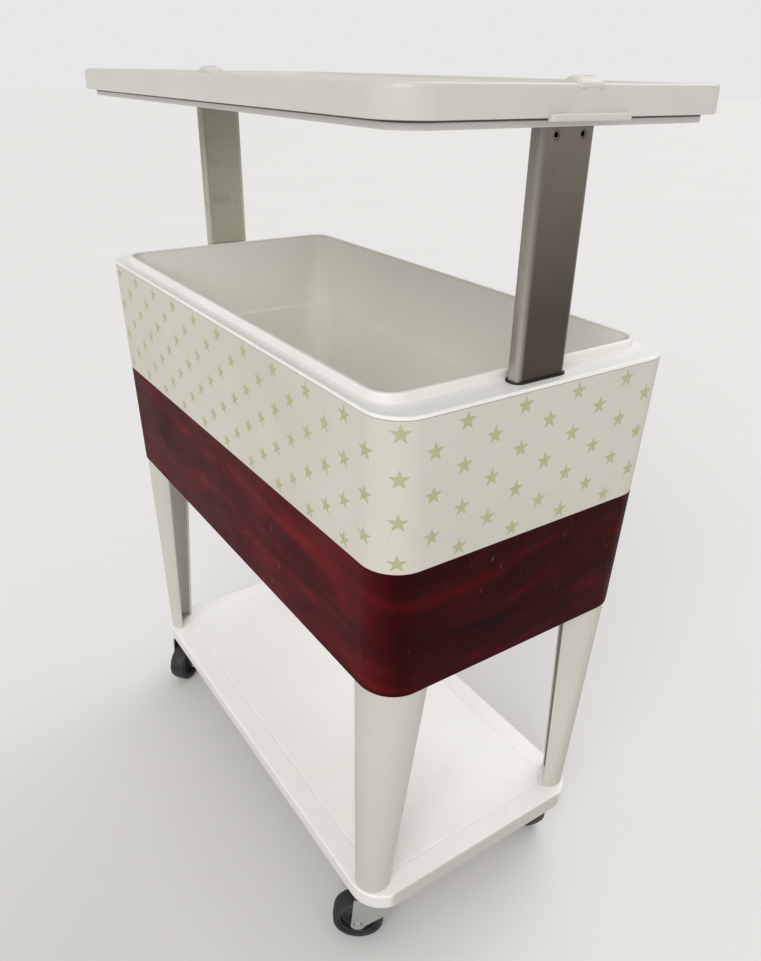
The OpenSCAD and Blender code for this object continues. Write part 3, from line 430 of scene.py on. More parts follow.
def metalFinish(name, s):
    # bare metal with a grain, a little dirt and, where they are given, painted shading along an axis, a painted
    # highlight on the edges or painted shade in the screws' sockets
    h = Shader(name)
    grain = h.noise(18.0, 5.0, 0.6, stretch=s["grain"])
    color = h.mix(grain, linear(s["tint"]), linear(s["shade"]))
    # painted shade, or painted light where the tint is paler, along an axis, where the finish lists it
    color = h.dim(color, s.get("dim", []))
    # painted highlight on the rounded long edges
    if "edgeHighlight" in s:
        edgeHighlight, sides = s["edgeHighlight"], h.sides()
        onEdge = h.span(h.math("ABSOLUTE", sides[1]), *edgeHighlight["across"], 0, 1)
        amount = h.math("MULTIPLY", onEdge, h.span(sides[2], *edgeHighlight["height"], *edgeHighlight["amount"]))
        color = h.mix(amount, color, linear(edgeHighlight["tint"]))
    # painted shade of the socket round each screw's axis
    if "socket" in s:
        socket, sides = s["socket"], h.sides()
        across = h.math("SUBTRACT", h.math("ABSOLUTE", sides[1]), socket["y"])
        reach = h.length(across, h.math("SUBTRACT", sides[2], socket["z"]))
        inside = h.span(reach, socket["radius"], socket["radius"] + socket["soft"], 1, 0)
        color = h.mix(inside, color, linear(socket["tint"]))
    dirt = h.span(h.noise(22.0, 5.0, 0.7), 0.58, 0.75, 0, 0.3)
    color = h.mix(dirt, color, linear(dirtTint))
    rough = h.span(grain, 0.2, 0.8, *s["rough"])
    return h.finish(color, rough, grain, 0.00006, metal=1.0, edge=edgeRound["metal"])


darks = {
    "black_rubber": {"tint": (24, 24, 24), "shade": (40, 39, 37), "rough": (0.55, 0.75)},
    "tyre_rubber": {"tint": (26, 26, 26), "shade": (52, 49, 45), "rough": (0.5, 0.72)},
    "wheel_plastic": {"tint": (44, 44, 44), "shade": (30, 30, 30), "rough": (0.4, 0.55)},
    "grey_plastic": {"tint": (78, 78, 80), "shade": (62, 62, 64), "rough": (0.4, 0.55)},
    "insulation": {"tint": (214, 196, 140), "shade": (196, 178, 124), "rough": (0.7, 0.85)},
}


def plainFinish(name, s):
    # two close shades in blotches, with a fine rough skin
    h = Shader(name)
    blotch = h.span(h.noise(26.0, 5.0, 0.65), 0.35, 0.7, 0, 1)
    color = h.mix(blotch, linear(s["tint"]), linear(s["shade"]))
    rough = h.span(h.noise(40.0, 4.0), 0.3, 0.7, *s["rough"])
    return h.finish(color, rough, h.noise(300.0, 3.0), 0.0001, edge=edgeRound["plain"])


# Levels of the cart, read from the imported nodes
def lowHigh(name):
    low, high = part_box(name)
    return np.array(low) / mm, np.array(high) / mm


tubLook = {
    # half length, half width and corner radius
    "rim": (410.0, 203.0, 43.0),
    "foot": (401.0, 197.0, 47.0),
    "well": (369.0, 181.0, 25.0),
    "lip": 10.0,  # height of the raised lip round the well
}

shelfLow, shelfHigh = lowHigh("base_shelf")
coverLow, coverHigh = lowHigh("lid_cover")
rimZ = lowHigh("rim_frame")[1][2] - tubLook["lip"]
tubZ = lowHigh("tub_shell")[0][2]
aroundTub = (4 * sum(tubLook["rim"][:2]) - (8 - 2 * math.pi) * tubLook["rim"][2]) * mm


def tubSize(z):
    # straight from the rim's outline to the foot's
    share = (rimZ - z) / (rimZ - tubZ)
    return [rim + (foot - rim) * share for rim, foot in zip(tubLook["rim"], tubLook["foot"])]


def wellSize(z):
    return [size + 0 * z for size in tubLook["well"]]


finishes = {name: whiteFinish(name, s) for name, s in whites.items()}
finishes.update({name: metalFinish(name, s) for name, s in metals.items()})
finishes.update({name: plainFinish(name, s) for name, s in darks.items()})
finishes["printed_film"] = printFinish(printLook, aroundTub, rimZ * mm)
edged = {name: whiteFinish(name + "_edged", s, edge=edgeRound["white"]) for name, s in whites.items()}
# the far column takes the copy with painted light, the rear right leg the copy with painted shade
ownFinish = {"column_left": "column_metal_pale", "leg_rear_right": "leg_paint_rear"}
for name, node in nodes.items():
    slot = slotOf[name]
    finish = finishes[ownFinish[name]] if name in ownFinish else edged.get(slot) or finishes[slot]
    node.data.materials.clear()
    node.data.materials.append(finish)
print("finishes made:", len(finishes))

# Tub

wrapLook = {
    "low": 493.0,
    "high": 838.2,
    "edge": 0.35,  # how far the film's edges are turned in
    "edgeHeight": 0.3,
    "rows": (560.0, 640.0, 720.0, 800.0),  # heights of the rings between its edges
}


def tubWrap(s):
    # the film follows the tub, turned in at both edges; its map is the way round and the height, in metres
    low, high = s["low"], s["high"]
    heights = [low + s["edgeHeight"], *s["rows"], high - s["edgeHeight"]]
    rings = loft(section([(s["edge"], low), *[(0.0, z) for z in heights], (s["edge"], high)]), tubSize)
    rows, cols = rings.shape[:2]
    faces = gridFaces(rows, cols)
    top = rings[-2]
    step = np.linalg.norm(np.roll(top, -1, 0) - top, axis=1)
    along = np.concatenate([[0.0], np.cumsum(step)])
    along = along / along[-1] * aroundTub
    column = faces % cols
    u = along[column]
    last = column[:, 0] == cols - 1
    u[last, 1:3] = along[-1]
    v = rings[..., 2].ravel()[faces] * mm
    uv = np.stack([u, v], -1).reshape(-1, 2)
    film = finishes["printed_film"]
    piece = makePiece("tubWrap", rings.reshape(-1, 3), faces, film, "printed_film", "cart", uv)
    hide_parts("printed_wrap")


tubWrap(wrapLook)

rimLook = {
    "skirtFoot": 839.0,
    "skirtWall": 2.6,
    "skirtRound": (0.6, 2.6),  # fillets at the skirt's foot and top
    "ledge": 4.0,  # inset where the ledge begins
    "lipWidth": 5.5,
    "lipFoot": 6.7,
    "lipRound": (1.4, 2.4),  # fillets at the lip's foot and top
    "lipInside": 851.0,
    "lipUnder": (2.8, 840.4),
    "slot": (11.3, 37.0, 9.9),  # half length, half width and corner radius of the column's slot
    "slotX": 387.2,
    "slotDepth": 2.6,
}


def rimFrame(s):
    # the section runs up the skirt, over the ledge and the lip, and back underneath
    foot, top, lip = s["skirtFoot"], rimZ + tubLook["lip"], s["lipWidth"]
    atFoot, atTop = s["skirtRound"]
    skirt = [(s["skirtWall"], foot), (0.0, foot, atFoot), (0.0, rimZ, atTop), (s["ledge"], rimZ)]
    outer = loft(section(skirt), tubSize)
    atFoot, atTop = s["lipRound"]
    underIn, underZ = s["lipUnder"]
    inner = loft(section([
        (-s["lipFoot"], rimZ), (-lip, rimZ, atFoot), (-lip, top, atTop), (0.0, top, atTop),
        (0.0, s["lipInside"]), (-underIn, s["lipInside"]), (-underIn, underZ),
    ]), wellSize)
    rings = np.concatenate([outer, inner])
    rows, cols = rings.shape[:2]
    # the straight end sides of the ledge are left out and filled by a plate with the column's slot
    ledge = len(outer) - 1
    steps = look["cornerSteps"]
    endSides = [steps * 2 + 1, 4 * steps + 3]
    faces = gridFaces(rows, cols)
    leftOut = (faces[:, 0] // cols == ledge) & np.isin(faces[:, 0] % cols, endSides)
    faces = faces[~leftOut].tolist()
    verts = [rings.reshape(-1, 3)]
    start = rows * cols
    for side in endSides:
        after = (side + 1) % cols
        plate = rings[[ledge, ledge, ledge + 1, ledge + 1], [side, after, after, side]]
        halfX, halfY, radius = s["slot"]
        x, y = outline(halfX, halfY, radius, steps=steps, midX=np.sign(plate[0, 0]) * s["slotX"])
        mouth = stack(x, y, rimZ)[0]
        # every arc of the slot fans out to the plate's corner on its own side, x counting before y
        signs = np.array([(1, 1), (-1, 1), (-1, -1), (1, -1)])
        box = plate[np.argmax(signs[:, :1] * 10 * plate[:, 0] + signs[:, 1:] * plate[:, 1], axis=1)]
        count = len(mouth)
        k = np.arange(count)
        m = (k + 1) % count
        arc, corner = k // (steps + 1), start + 2 * count
        sameArc = m // (steps + 1) == arc
        fan = np.stack([corner + arc, start + m, start + k], 1)[sameArc]
        gap = np.stack([corner + arc, corner + (arc + 1) % 4, start + m, start + k], 1)[~sameArc]
        wall = np.stack([start + k, start + m, start + count + m, start + count + k], 1)
        faces += fan.tolist() + gap.tolist() + wall.tolist()
        verts += [mouth, mouth - [0, 0, s["slotDepth"]], box]
        start += 2 * count + 4
    # the rim takes the brighter copy of the white plastic, with painted light
    piece = makePiece("rimFrame", np.vstack(verts), faces, finishes["rim_plastic"], "white_plastic", "cart")
    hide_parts("rim_frame")


rimFrame(rimLook)

linerLook = {
    # inset from the well's outline, height and fillet: wall, step, lower wall, rounded floor edge and floor
    "section": [
        (-2.5, 840.0), (-2.5, 850.7), (0.0, 850.7, 0.6), (8.0, 730.5, 3.0), (11.0, 728.0, 3.0),
        (19.0, 519.5, 26.0), (60.0, 519.5),
    ],
    "cornerGrowth": (1.5, 22.0),  # of the corner's radius for each mm of inset, and up to which inset
    "drain": 11.3,
    "drainDepth": 2.5,
}


def tubLiner(s):
    low, high = lowHigh("drain_fitting")
    inset, height = section(s["section"]).T
    halfX, halfY, radius = wellSize(0 * inset)
    growth, most = s["cornerGrowth"]
    rings = stack(*outline(halfX - inset, halfY - inset, radius + np.clip(inset, 0, most) * growth), height)
    # the floor's last ring runs in to the drain's round hole
    centre = np.array([(low[0] + high[0]) / 2, 0.0, height[-1]])
    ray = rings[-1] - centre
    hole = centre + ray / np.linalg.norm(ray, axis=1)[:, None] * s["drain"]
    rings = np.concatenate([rings, hole[None], (hole - [0, 0, s["drainDepth"]])[None]])
    piece = loftPiece("tubLiner", rings, finishes["inner_tub"], "inner_tub", "cart")
    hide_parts("tub_liner")


tubLiner(linerLook)
print("tub built")

# Legs and shelf

legLook = {
    # place and radius at the top and at the foot
    "top": (354.0, 150.0, 45.0),
    "foot": (346.0, 167.0, 24.5),
    "sunk": 1.0,  # depth of the recess in the shelf
    "wall": 2.5,
    "lip": 7.0,  # how far the edges beside the open side turn in
    "lipRound": 0.6,
    "lipAngles": (1.6, 3.6),  # how far round the leg the turned-in edge reaches, in degrees
    "facing": 45.0,  # direction of the open side, and half its width, in degrees
    "mouth": 80.0,
    "steps": 72,
    "rows": 14,
    "plate": 4.0,
    "plateBack": 1.0,  # how far the plate's straight edge stands behind the leg's middle
    "plateSteps": 49,
    "round": (0.3, 0.9),  # two sizes of the steps that round the plate's edges
}


def legShell(s, topZ, footZ):
    # the loop runs along the outer arc, round the turned-in edge and back along the inner arc
    share = np.linspace(0, 1, s["rows"])[:, None]
    midX, midY, radius = (foot + (top - foot) * share for top, foot in zip(s["top"], s["foot"]))
    angle = np.radians(np.linspace(s["facing"] + s["mouth"], s["facing"] + 360 - s["mouth"], s["steps"]))
    little, more = np.radians(s["lipAngles"])
    first, last = angle[0], angle[-1]
    turned = np.array([s["lip"], s["lip"], s["wall"] + s["lipRound"]])
    back = angle[::-1][len(turned):-len(turned)]
    lastEdge, firstEdge = [last, last - little, last - more], [first + more, first + little, first]
    loopAngle = np.concatenate([angle, lastEdge, back, firstEdge])
    inset = np.concatenate([np.zeros(len(angle)), turned, np.full(len(back), s["wall"]), turned[::-1]])
    x = midX - (radius - inset) * np.cos(loopAngle)
    y = midY - (radius - inset) * np.sin(loopAngle)
    return stack(x, y, footZ + (topZ - footZ) * share)


def legPlate(s, place, low, high):
    # half a disc: a half circle about the leg's middle, closed by a straight edge across its open side
    midX, midY, radius = place
    little, more = s["round"]
    inset = np.array([more, little, 0.0, 0.0, little, more])[:, None]
    height = np.array([low, low + little, low + more, high - more, high - little, high])
    turn = np.radians(np.linspace(-90, 90, s["plateSteps"]))
    r = radius - s["wall"] / 2 - inset
    out, side = r * np.cos(turn) - s["plateBack"] + inset, r * np.sin(turn)
    return stack(midX + (out - side) * math.sqrt(0.5), midY + (out + side) * math.sqrt(0.5), height)


def atCorner(rings, signX, signY):
    # rings made for the rear right corner, mirrored into another one with their faces still outwards
    rings = rings * (signX, signY, 1)
    return rings[:, ::-1] if signX * signY < 0 else rings


def legs(s):
    topZ, footZ = tubZ, shelfHigh[2] - s["sunk"]
    shell = legShell(s, topZ, footZ)
    plates = {
        "top": legPlate(s, s["top"], topZ - s["plate"], topZ),
        "foot": legPlate(s, s["foot"], footZ, footZ + s["plate"]),
    }
    for name in cartCorners:
        signs = (1 if name.endswith("right") else -1, -1 if name.startswith("front") else 1)
        # the rear right leg takes the copy with painted shade
        paint = finishes["leg_paint_rear" if name == "rear_right" else "leg_paint"]
        piece = loftPiece("leg_" + name + "_shell", atCorner(shell, *signs), paint, "leg_paint", "cart")
        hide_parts("leg_" + name)
        for end, rings in plates.items():
            loftPiece("leg_" + name + "_plate_" + end, atCorner(rings, *signs), paint, "leg_paint", "cart",
                      capStart=True, capEnd=True)


legs(legLook)

shelfLook = {
    "radius": 50.0,
    "edge": 2.6,
    "grooveInset": 32.0,
    "grooveWidth": 4.0,
    "grooveDepth": 1.0,
    "grooveSlope": 1.0,
    "grooveRound": 0.3,
    "topReach": 8.0,  # from the groove to the top's last ring
    "cornerShrink": (0.8, 12.0),  # of the corner's radius for each mm of inset, and what is left at least
    "rib": 5.0,
    "deck": 6.0,
    "cells": (8, 4),
    "cornerSteps": 24,  # columns across each of the outer cells, whose edge is round
}


def shelfTop(s):
    low, top = shelfLow[2], shelfHigh[2]
    start, end = s["grooveInset"], s["grooveInset"] + s["grooveWidth"]
    floor, slope, small = top - s["grooveDepth"], s["grooveSlope"], s["grooveRound"]
    inset, height = section([
        (0.0, low), (0.0, top, s["edge"]), (start, top, small), (start + slope, floor, small),
        (end - slope, floor, small), (end, top, small), (end + s["topReach"], top),
    ]).T
    shrink, least = s["cornerShrink"]
    radius = np.maximum(s["radius"] - inset * shrink, least)
    rings = stack(*outline(shelfHigh[0] - inset, shelfHigh[1] - inset, radius), height)
    piece = loftPiece("shelfTop", rings, finishes["shelf_plastic"], "shelf_plastic", "cart", capEnd=True)
    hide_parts("base_shelf")


def ribStations(s, half, count):
    # places across the shelf, each cell's edges doubled for its walls, and the cell at each place, or -1
    size = (2 * half - s["rib"]) / count
    places, inside = [-half], [-1]
    for k, start in enumerate(s["rib"] - half + size * np.arange(count)):
        end = start + size - s["rib"]
        between = np.linspace(start, end, s["cornerSteps"])[1:-1] if k in (0, count - 1) else []
        places += [start, start, *between, end, end]
        inside += [-1, k] + [k] * len(between) + [k, -1]
    return np.array(places + [half]), np.array(inside + [-1])


def shelfUnderside(s):
    # a height field, low on the ribs and high in the pockets, drawn in at the rounded corners
    halfX, halfY = shelfHigh[:2]
    alongX, alongY = s["cells"]
    xs, inX = ribStations(s, halfX, alongX)
    ys, inY = ribStations(s, halfY, alongY)
    x, y = np.meshgrid(xs, ys, indexing="ij")
    cellX, cellY = np.meshgrid(inX, inY, indexing="ij")
    solid = np.isin(cellX, (0, alongX - 1)) & np.isin(cellY, (0, alongY - 1))
    z = np.where((cellX >= 0) & (cellY >= 0) & ~solid, shelfHigh[2] - s["deck"], shelfLow[2])
    midX, midY = halfX - s["radius"], halfY - s["radius"]
    overX, overY = np.abs(x) - midX, np.abs(y) - midY
    reach = np.hypot(overX, overY)
    outside = (overX > 0) & (overY > 0) & (reach > s["radius"])
    pull = s["radius"] / np.maximum(reach, 1e-6)
    x = np.where(outside, np.sign(x) * (midX + overX * pull), x)
    y = np.where(outside, np.sign(y) * (midY + overY * pull), y)
    verts = np.stack([x, y, z], 2).reshape(-1, 3)
    faces = gridFaces(len(xs), len(ys), closed=False)
    makePiece("shelfUnderside", verts, faces, finishes["shelf_plastic"], "shelf_plastic", "cart")


shelfTop(shelfLook)
shelfUnderside(shelfLook)
print("legs and shelf built")

# Casters

wheelLook = {
    "radius": 37.5,
    "width": 30.0,
    "hub": 28.0,
    "bead": (1.0, 1.5, 0.8),  # the tyre's edge beside the hub: height, depth and fillet
    "shoulder": (2.0, 4.5),  # drop of the tread at its sides, and fillet there
    "crown": 12.0,
    "steps": 72,
    # half of the hub's section: radius, distance from the wheel's middle and fillet
    "hubFace": [
        (4.05, -17.6), (10.4, -17.6, 0.6), (12.0, -8.0, 2.0), (20.0, -4.0, 4.0), (24.0, -4.6, 1.5),
        (25.4, -12.6, 1.2), (27.9, -13.0, 0.4),
    ],
}


def wheels(s):
    # a tyre with a crowned tread and a dished hub, each a section turned about the wheel's axle
    half = s["width"] / 2
    up, deep, beadRound = s["bead"]
    drop, shoulderRound = s["shoulder"]
    bead, shoulder = s["hub"] + up, s["radius"] - drop
    tread = section([
        (s["hub"], -half + deep), (bead, -half, beadRound), (shoulder, -half, shoulderRound),
        (s["radius"], 0.0, s["crown"]),
        (shoulder, half, shoulderRound), (bead, half, beadRound), (s["hub"], half - deep),
    ])
    face = s["hubFace"]
    disc = section(face + [(radius, -along, *fillet) for radius, along, *fillet in face[::-1]])
    parts = (("tyre_", "_tread", tread, "tyre_rubber"), ("hub_", "_disc", disc, "wheel_plastic"))
    for name in cartCorners:
        spin = joints["wheel_spin_" + name]
        origin = np.array(spin["pos_m"]) / mm
        for part, ending, path, slot in parts:
            rings = revolve(path, s["steps"], origin, spin["axis"])
            piece = loftPiece(part + name + ending, rings, finishes[slot], slot, "wheel_" + name)
            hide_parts(part + name)


wheels(wheelLook)
print("wheels built")

# Lid

lidLook = {
    "radius": 44.0,
    "foot": 3.0,  # width of the wall's lower edge
    "footRound": (0.5, 0.8),  # its inner and outer fillet
    "shoulder": (0.8, 4.0, 2.0),  # where the wall leans in: inset, depth below the top and fillet
    "topInset": 2.0,
    "edge": 3.4,
    "trayDepth": 4.0,
    "tray": (9.0, 12.0, 22.0),  # insets of the tray's edge, of its foot and of its floor's last ring
    "trayRound": 1.5,
    "lining": (4.4, 8.4, 20.0),  # insets of the wall's inside, of its top and of the ceiling's last ring
    "skin": (6.5, 3.5),  # below the tray: where the wall's inside ends, and the tray's own underside
}


def lidSize(z):
    return coverHigh[0] + 0 * z, coverHigh[1] + 0 * z, lidLook["radius"] + 0 * z


def lidCover(s):
    # one section runs up the wall, over its rounded top and down into the tray, and another lines the inside
    low, top = coverLow[2], coverHigh[2]
    tray = top - s["trayDepth"]
    wallEnd, under = (tray - depth for depth in s["skin"])
    footInside, footOutside = s["footRound"]
    shoulderIn, shoulderDown, shoulderRound = s["shoulder"]
    trayEdge, trayFoot, trayFloor = s["tray"]
    inside, insideTop, ceiling = s["lining"]
    outer = section([
        (inside, wallEnd), (s["foot"], low, footInside), (0.0, low, footOutside),
        (shoulderIn, top - shoulderDown, shoulderRound), (s["topInset"], top, s["edge"]),
        (trayEdge, top, s["trayRound"]), (trayFoot, tray, s["trayRound"]), (trayFloor, tray),
    ])
    lining = section([(inside, wallEnd), (insideTop, under), (ceiling, under)])
    for name, rings in (("lidCover", loft(outer, lidSize)), ("lidLining", loft(lining, lidSize)[:, ::-1])):
        piece = loftPiece(name, rings, finishes["white_plastic"], "white_plastic", "lid", capEnd=True)
        if name == "lidCover":
            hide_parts("lid_cover")


lidCover(lidLook)

gripLook = {
    # rows of height, inner end, outer end, width and corner radius, from the ledge up
    "ledge": [
        (1090.5, 415.2, 422.4, 97.8, 2.0), (1090.8, 415.2, 423.1, 99.3, 2.6),
        (1091.6, 415.2, 423.5, 100.0, 3.0), (1093.1, 415.2, 423.5, 100.0, 3.0),
        (1093.15, 416.6, 423.5, 100.0, 3.0), (1095.4, 416.6, 423.5, 99.9, 3.0),
        (1096.3, 416.6, 423.1, 99.0, 3.0), (1096.8, 416.6, 422.4, 97.4, 2.8),
    ],
    # height, half width and stand-out of the flare at its foot and at its top
    "flareZ": (1095.9, 1117.6),
    "flareHalf": (49.0, 17.0),
    "flareRise": (2.4, 0.9),
    "flareSpread": 15.0,
    "lidEnd": 418.0,
    "flareSunk": (0.5, 1.4),  # how far the flare's face and its back start behind the lid's end
    "knob": [
        (1116.2, 339.2, 418.2, 35.0, 5.0), (1116.9, 350.5, 418.5, 34.6, 5.0),
        (1118.0, 365.7, 418.6, 34.0, 5.0), (1119.4, 378.4, 418.1, 33.4, 5.0),
        (1120.8, 386.6, 417.2, 32.6, 5.2), (1122.4, 392.4, 415.4, 31.4, 6.0),
        (1124.0, 395.9, 413.3, 30.0, 6.3), (1125.2, 397.2, 412.0, 28.2, 6.4),
        (1125.8, 398.6, 410.5, 25.8, 5.8),
    ],
    # the pocket round the button: half its width, its straight stretch, its floor and its place
    "pocket": 5.2,
    "pocketLonger": 11.4,
    "pocketFloor": 1119.5,
    "pocketX": 404.5,
    "pocketMouth": [(0.0, 1.2), (0.0, 0.5), (0.2, 0.1), (0.7, 0.0)],  # depth below the top, and growth
    "pocketRound": 0.4,
}


def smoothRows(rows, steps=4):
    # a cubic through the rows: each tangent is half the step between a row's two neighbours
    rows = np.array(rows)
    before, after = np.vstack([rows[:1], rows[:-1]]), np.vstack([rows[1:], rows[-1:]])
    slope = (after - before) / 2
    t = np.linspace(0, 1, steps, endpoint=False)[:, None]
    a, b, m, n = (v[:, None] for v in (rows[:-1], rows[1:], slope[:-1], slope[1:]))
    curve = (2 * t**3 - 3 * t**2 + 1) * a + (t**3 - 2 * t**2 + t) * m
    curve = curve + (3 * t**2 - 2 * t**3) * b + (t**3 - t**2) * n
    return np.vstack([curve.reshape(-1, rows.shape[1]), rows[-1:]])


def boxRings(table):
    # a rounded box outline for each row of height, inner end, outer end, width and corner radius
    z, low, high, width, radius = np.array(table).T
    halfX = (high - low) / 2
    radius = np.minimum(radius, halfX - look["sliver"])
    return stack(*outline(halfX, width / 2, radius, steps=look["boxSteps"], midX=(low + high) / 2), z)


def flareRings(s, rows=26, cols=33):
    # half width: the top's + spread t + the rest t^8, with t from 1 at the foot to 0 at the top
    # stand-out: the top's + the rest t^3, times the squared cosine of the place across the face
    t = np.linspace(1, 0, rows)
    foot, top = s["flareHalf"]
    half = top + s["flareSpread"] * t + (foot - top - s["flareSpread"]) * t**8
    rise = s["flareRise"][1] + (s["flareRise"][0] - s["flareRise"][1]) * t**3
    across = np.linspace(-1, 1, cols)
    face, back = (s["lidEnd"] - sunk for sunk in s["flareSunk"])
    x = face + rise[:, None] * np.cos(math.pi / 2 * across) ** 2
    x = np.hstack([x, np.full((rows, 2), back)])
    y = np.hstack([half[:, None] * across, np.stack([half, -half], 1)])
    return stack(x, y, np.interp(t, [0, 1], s["flareZ"][::-1]))


def pocketRows(s, top):
    # grown outlines at the pocket's mouth, then straight down to its floor
    rows = [(top - depth, grow) for depth, grow in s["pocketMouth"]]
    floor, small = s["pocketFloor"], s["pocketRound"]
    z, grow = np.array(rows + [(floor + small, 0.0), (floor, -small)]).T
    half = s["pocket"] + grow
    low, high = s["pocketX"] - half, s["pocketX"] + half
    return np.stack([z, low, high, 2 * half + s["pocketLonger"], half - look["sliver"]], 1)


def grips(s):
    # three closed blocks that meet: the ledge, the flare above it and the knob with the button's pocket
    knob = smoothRows(s["knob"])
    knob = np.vstack([knob, pocketRows(s, knob[-1, 0])])
    blocks = [boxRings(s["ledge"]), flareRings(s), boxRings(knob)]
    for name, sign in cartEnds:
        verts, faces = [], []
        for block in blocks:
            rings = atCorner(block, sign, 1)
            faces += loftFaces(rings, True, True, offset=sum(len(v) for v in verts))
            verts.append(rings.reshape(-1, 3))
        piece = makePiece("grip_" + name + "_body", np.vstack(verts), faces, finishes["white_plastic"],
                          "white_plastic", "lid")
        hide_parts("grip_" + name)


grips(gripLook)

buttonLook = {
    "capX": gripLook["pocketX"],
    "stem": 3.5,  # what is nearer the cap's axis than this is its stem
    "capFrom": 1119.0,
    "capFoot": 1123.3,
    "capTop": 1126.4,
    "longer": gripLook["pocketLonger"] / 2,
}


def releaseButtons(s):
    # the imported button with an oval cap: y grows by a fixed length away from the middle where the distance
    # from the cap's axis is more than the stem's, and z is squeezed above the cap's foot
    for name, _ in cartEnds:
        source = nodes["release_button_" + name]
        local = np.empty(len(source.data.vertices) * 3)
        source.data.vertices.foreach_get("co", local)
        corner = np.empty(len(source.data.loops), np.int32)
        source.data.loops.foreach_get("vertex_index", corner)
        turn = np.array(source.matrix_world)
        loose = (local.reshape(-1, 3) @ turn[:3, :3].T + turn[:3, 3]) / mm
        verts, where = np.unique(np.round(loose, 3), axis=0, return_inverse=True)
        triangles = where.ravel()[corner].reshape(-1, 3)
        triangles = triangles[(triangles != np.roll(triangles, 1, axis=1)).all(axis=1)]
        x, y, z = verts.T
        inCap = (z > s["capFrom"]) & (np.hypot(np.abs(x) - s["capX"], y) > s["stem"])
        longerY = np.where(inCap, y + s["longer"] * np.sign(np.round(y, 2)), y)
        squeeze = (s["capTop"] - s["capFoot"]) / (z.max() - s["capFoot"])
        lowerZ = np.where(z > s["capFoot"], s["capFoot"] + (z - s["capFoot"]) * squeeze, z)
        slot = slotOf[source.name]
        piece = makePiece("release_button_" + name + "_oval", np.stack([x, longerY, lowerZ], 1),
                          triangles.tolist(), finishes[slot], slot, "button_" + name)
        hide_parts("release_button_" + name)


releaseButtons(buttonLook)

springLook = {
    "turns": 7.5,
    "wire": 0.55,
    "flatRise": 1.1,  # height that each flat turn gains, in radii of the wire
    "travel": 3.0,
    "steps": 240,
    "sides": 8,
}


def buttonSprings(s):
    # a helix of wire: radius R + w cos b, height z + w sin b; the first and last turns lie nearly flat
    wire, flat = s["wire"], 1 / s["turns"]
    t = np.linspace(0, 1, s["steps"])[:, None]
    turn = 2 * math.pi * s["turns"] * t
    rise = np.clip((t - flat) / (1 - 2 * flat), 0, 1)
    flatTurns = np.clip(t / flat, 0, 1) + np.clip((t - 1) / flat + 1, 0, 1)
    around = -np.linspace(0, 2 * math.pi, s["sides"], endpoint=False)
    for name, _ in cartEnds:
        low, high = lowHigh("button_spring_" + name)
        middle, outer, tall = (low + high) / 2, (high[0] - low[0]) / 2, high[2] - low[2]
        coiled = tall - 2 * wire * (1 + s["flatRise"])
        height = low[2] + wire * (1 + s["flatRise"] * flatTurns) + rise * coiled
        reach = outer - wire + wire * np.cos(around)
        x, y = middle[0] + reach * np.cos(turn), middle[1] + reach * np.sin(turn)
        rings = np.stack([x, y, height + wire * np.sin(around)], 2)
        piece = loftPiece("button_spring_" + name + "_wire", rings, finishes["zinc"], "zinc", "lid",
                          capStart=True, capEnd=True)
        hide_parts("button_spring_" + name)
        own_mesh(piece)


buttonSprings(springLook)
print("lid built")

# Light, floor and camera

stageLook = {
    "sky": 0.6,
    "skyTint": (1.0, 0.985, 0.965, 1),
    "background": 0.8,  # level of the plain background seen by the camera
    "floorTint": (231, 230, 229),
    "floorShade": (227, 226, 225),
    "floorRough": 0.8,
    "floorReach": 40.0,
    "suns": [
        {"name": "front", "from": (0.62, -0.78, 0.68), "angle": 40.0, "power": 1.3},
        {"name": "rear", "from": (-0.35, 0.90, 0.95), "angle": 50.0, "power": 0.9},
    ],
}


def makeFloor(s):
    mesh = bpy.data.meshes.new("floor")
    reach = s["floorReach"]
    corners = [(-reach, -reach, 0), (reach, -reach, 0), (reach, reach, 0), (-reach, reach, 0)]
    mesh.from_pydata(corners, [], [(0, 1, 2, 3)])
    floor = bpy.data.objects.new("floor", mesh)
    bpy.context.scene.collection.objects.link(floor)
    h = Shader("floor")  # plain and pale, with the faintest clouds
    tint = h.mix(h.noise(1.2, 3.0), linear(s["floorTint"]), linear(s["floorShade"]))
    h.put(h.principled.inputs["Base Color"], tint)
    h.principled.inputs["Roughness"].default_value = s["floorRough"]
    mesh.materials.append(h.material)


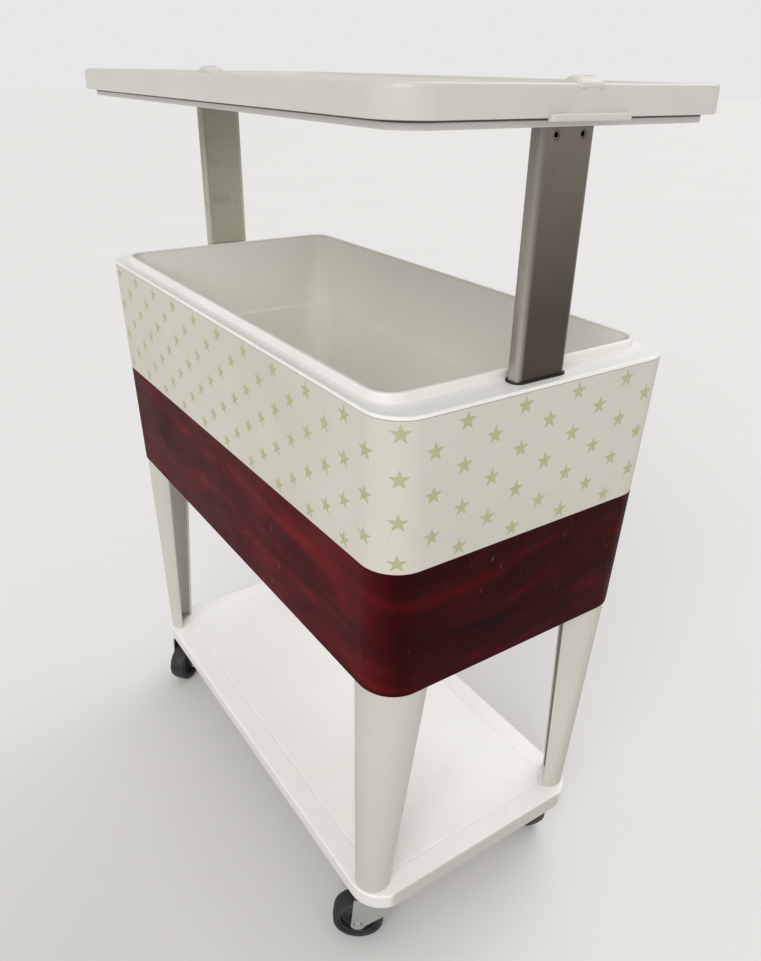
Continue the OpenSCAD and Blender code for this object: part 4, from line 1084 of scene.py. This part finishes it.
def makeSky(s):
    # the camera sees a plain background, everything else is lit by the warmer sky
    world = bpy.data.worlds.new("sky")
    bpy.context.scene.world = world
    world.use_nodes = True
    tree = world.node_tree
    tree.nodes.clear()
    out = tree.nodes.new("ShaderNodeOutputWorld")
    path = tree.nodes.new("ShaderNodeLightPath")
    mix = tree.nodes.new("ShaderNodeMixShader")
    tree.links.new(path.outputs["Is Camera Ray"], mix.inputs[0])
    for k, (tint, strength) in enumerate(((s["skyTint"], s["sky"]), ((1, 1, 1, 1), s["background"])), 1):
        shade = tree.nodes.new("ShaderNodeBackground")
        shade.inputs["Color"].default_value = tint
        shade.inputs["Strength"].default_value = strength
        tree.links.new(shade.outputs[0], mix.inputs[k])
    tree.links.new(mix.outputs[0], out.inputs[0])


def makeSuns(s):
    for sun in s["suns"]:
        data = bpy.data.lights.new(sun["name"], "SUN")
        data.angle = math.radians(sun["angle"])
        data.energy = sun["power"]
        light = bpy.data.objects.new(sun["name"], data)
        light.location = sun["from"]
        light.rotation_euler = Vector(sun["from"]).to_track_quat("Z", "Y").to_euler()
        bpy.context.scene.collection.objects.link(light)


makeFloor(stageLook)
makeSky(stageLook)
makeSuns(stageLook)

# place in metres, directions in degrees and lens in millimetres, fitted to the photograph
cameraLook = {
    "at": (0.95307, -0.58380, 1.12963),
    "azimuth": 55.504,
    "down": 27.407,
    "roll": 1.114,
    "lens": 29.884,
    "sensor": 36.0,
    "clip": (0.05, 60.0),
}


def makeCamera(s):
    azimuth, down, roll = (math.radians(s[k]) for k in ("azimuth", "down", "roll"))
    level = math.cos(down)
    ahead = Vector((-math.sin(azimuth) * level, math.cos(azimuth) * level, -math.sin(down)))
    right = ahead.cross(Vector((0, 0, 1))).normalized()
    up = right.cross(ahead)
    turnedRight = right * math.cos(roll) + up * math.sin(roll)
    turnedUp = up * math.cos(roll) - right * math.sin(roll)
    data = bpy.data.cameras.new("camera")
    data.lens = s["lens"]
    data.sensor_width = s["sensor"]
    data.clip_start, data.clip_end = s["clip"]
    camera = bpy.data.objects.new("camera", data)
    turn = Matrix((turnedRight, turnedUp, -ahead)).transposed()
    camera.matrix_world = Matrix.Translation(s["at"]) @ turn.to_4x4()
    bpy.context.scene.collection.objects.link(camera)
    bpy.context.scene.camera = camera


makeCamera(cameraLook)
bpy.context.scene.view_settings.view_transform = "Standard"
print("light, floor and camera set")
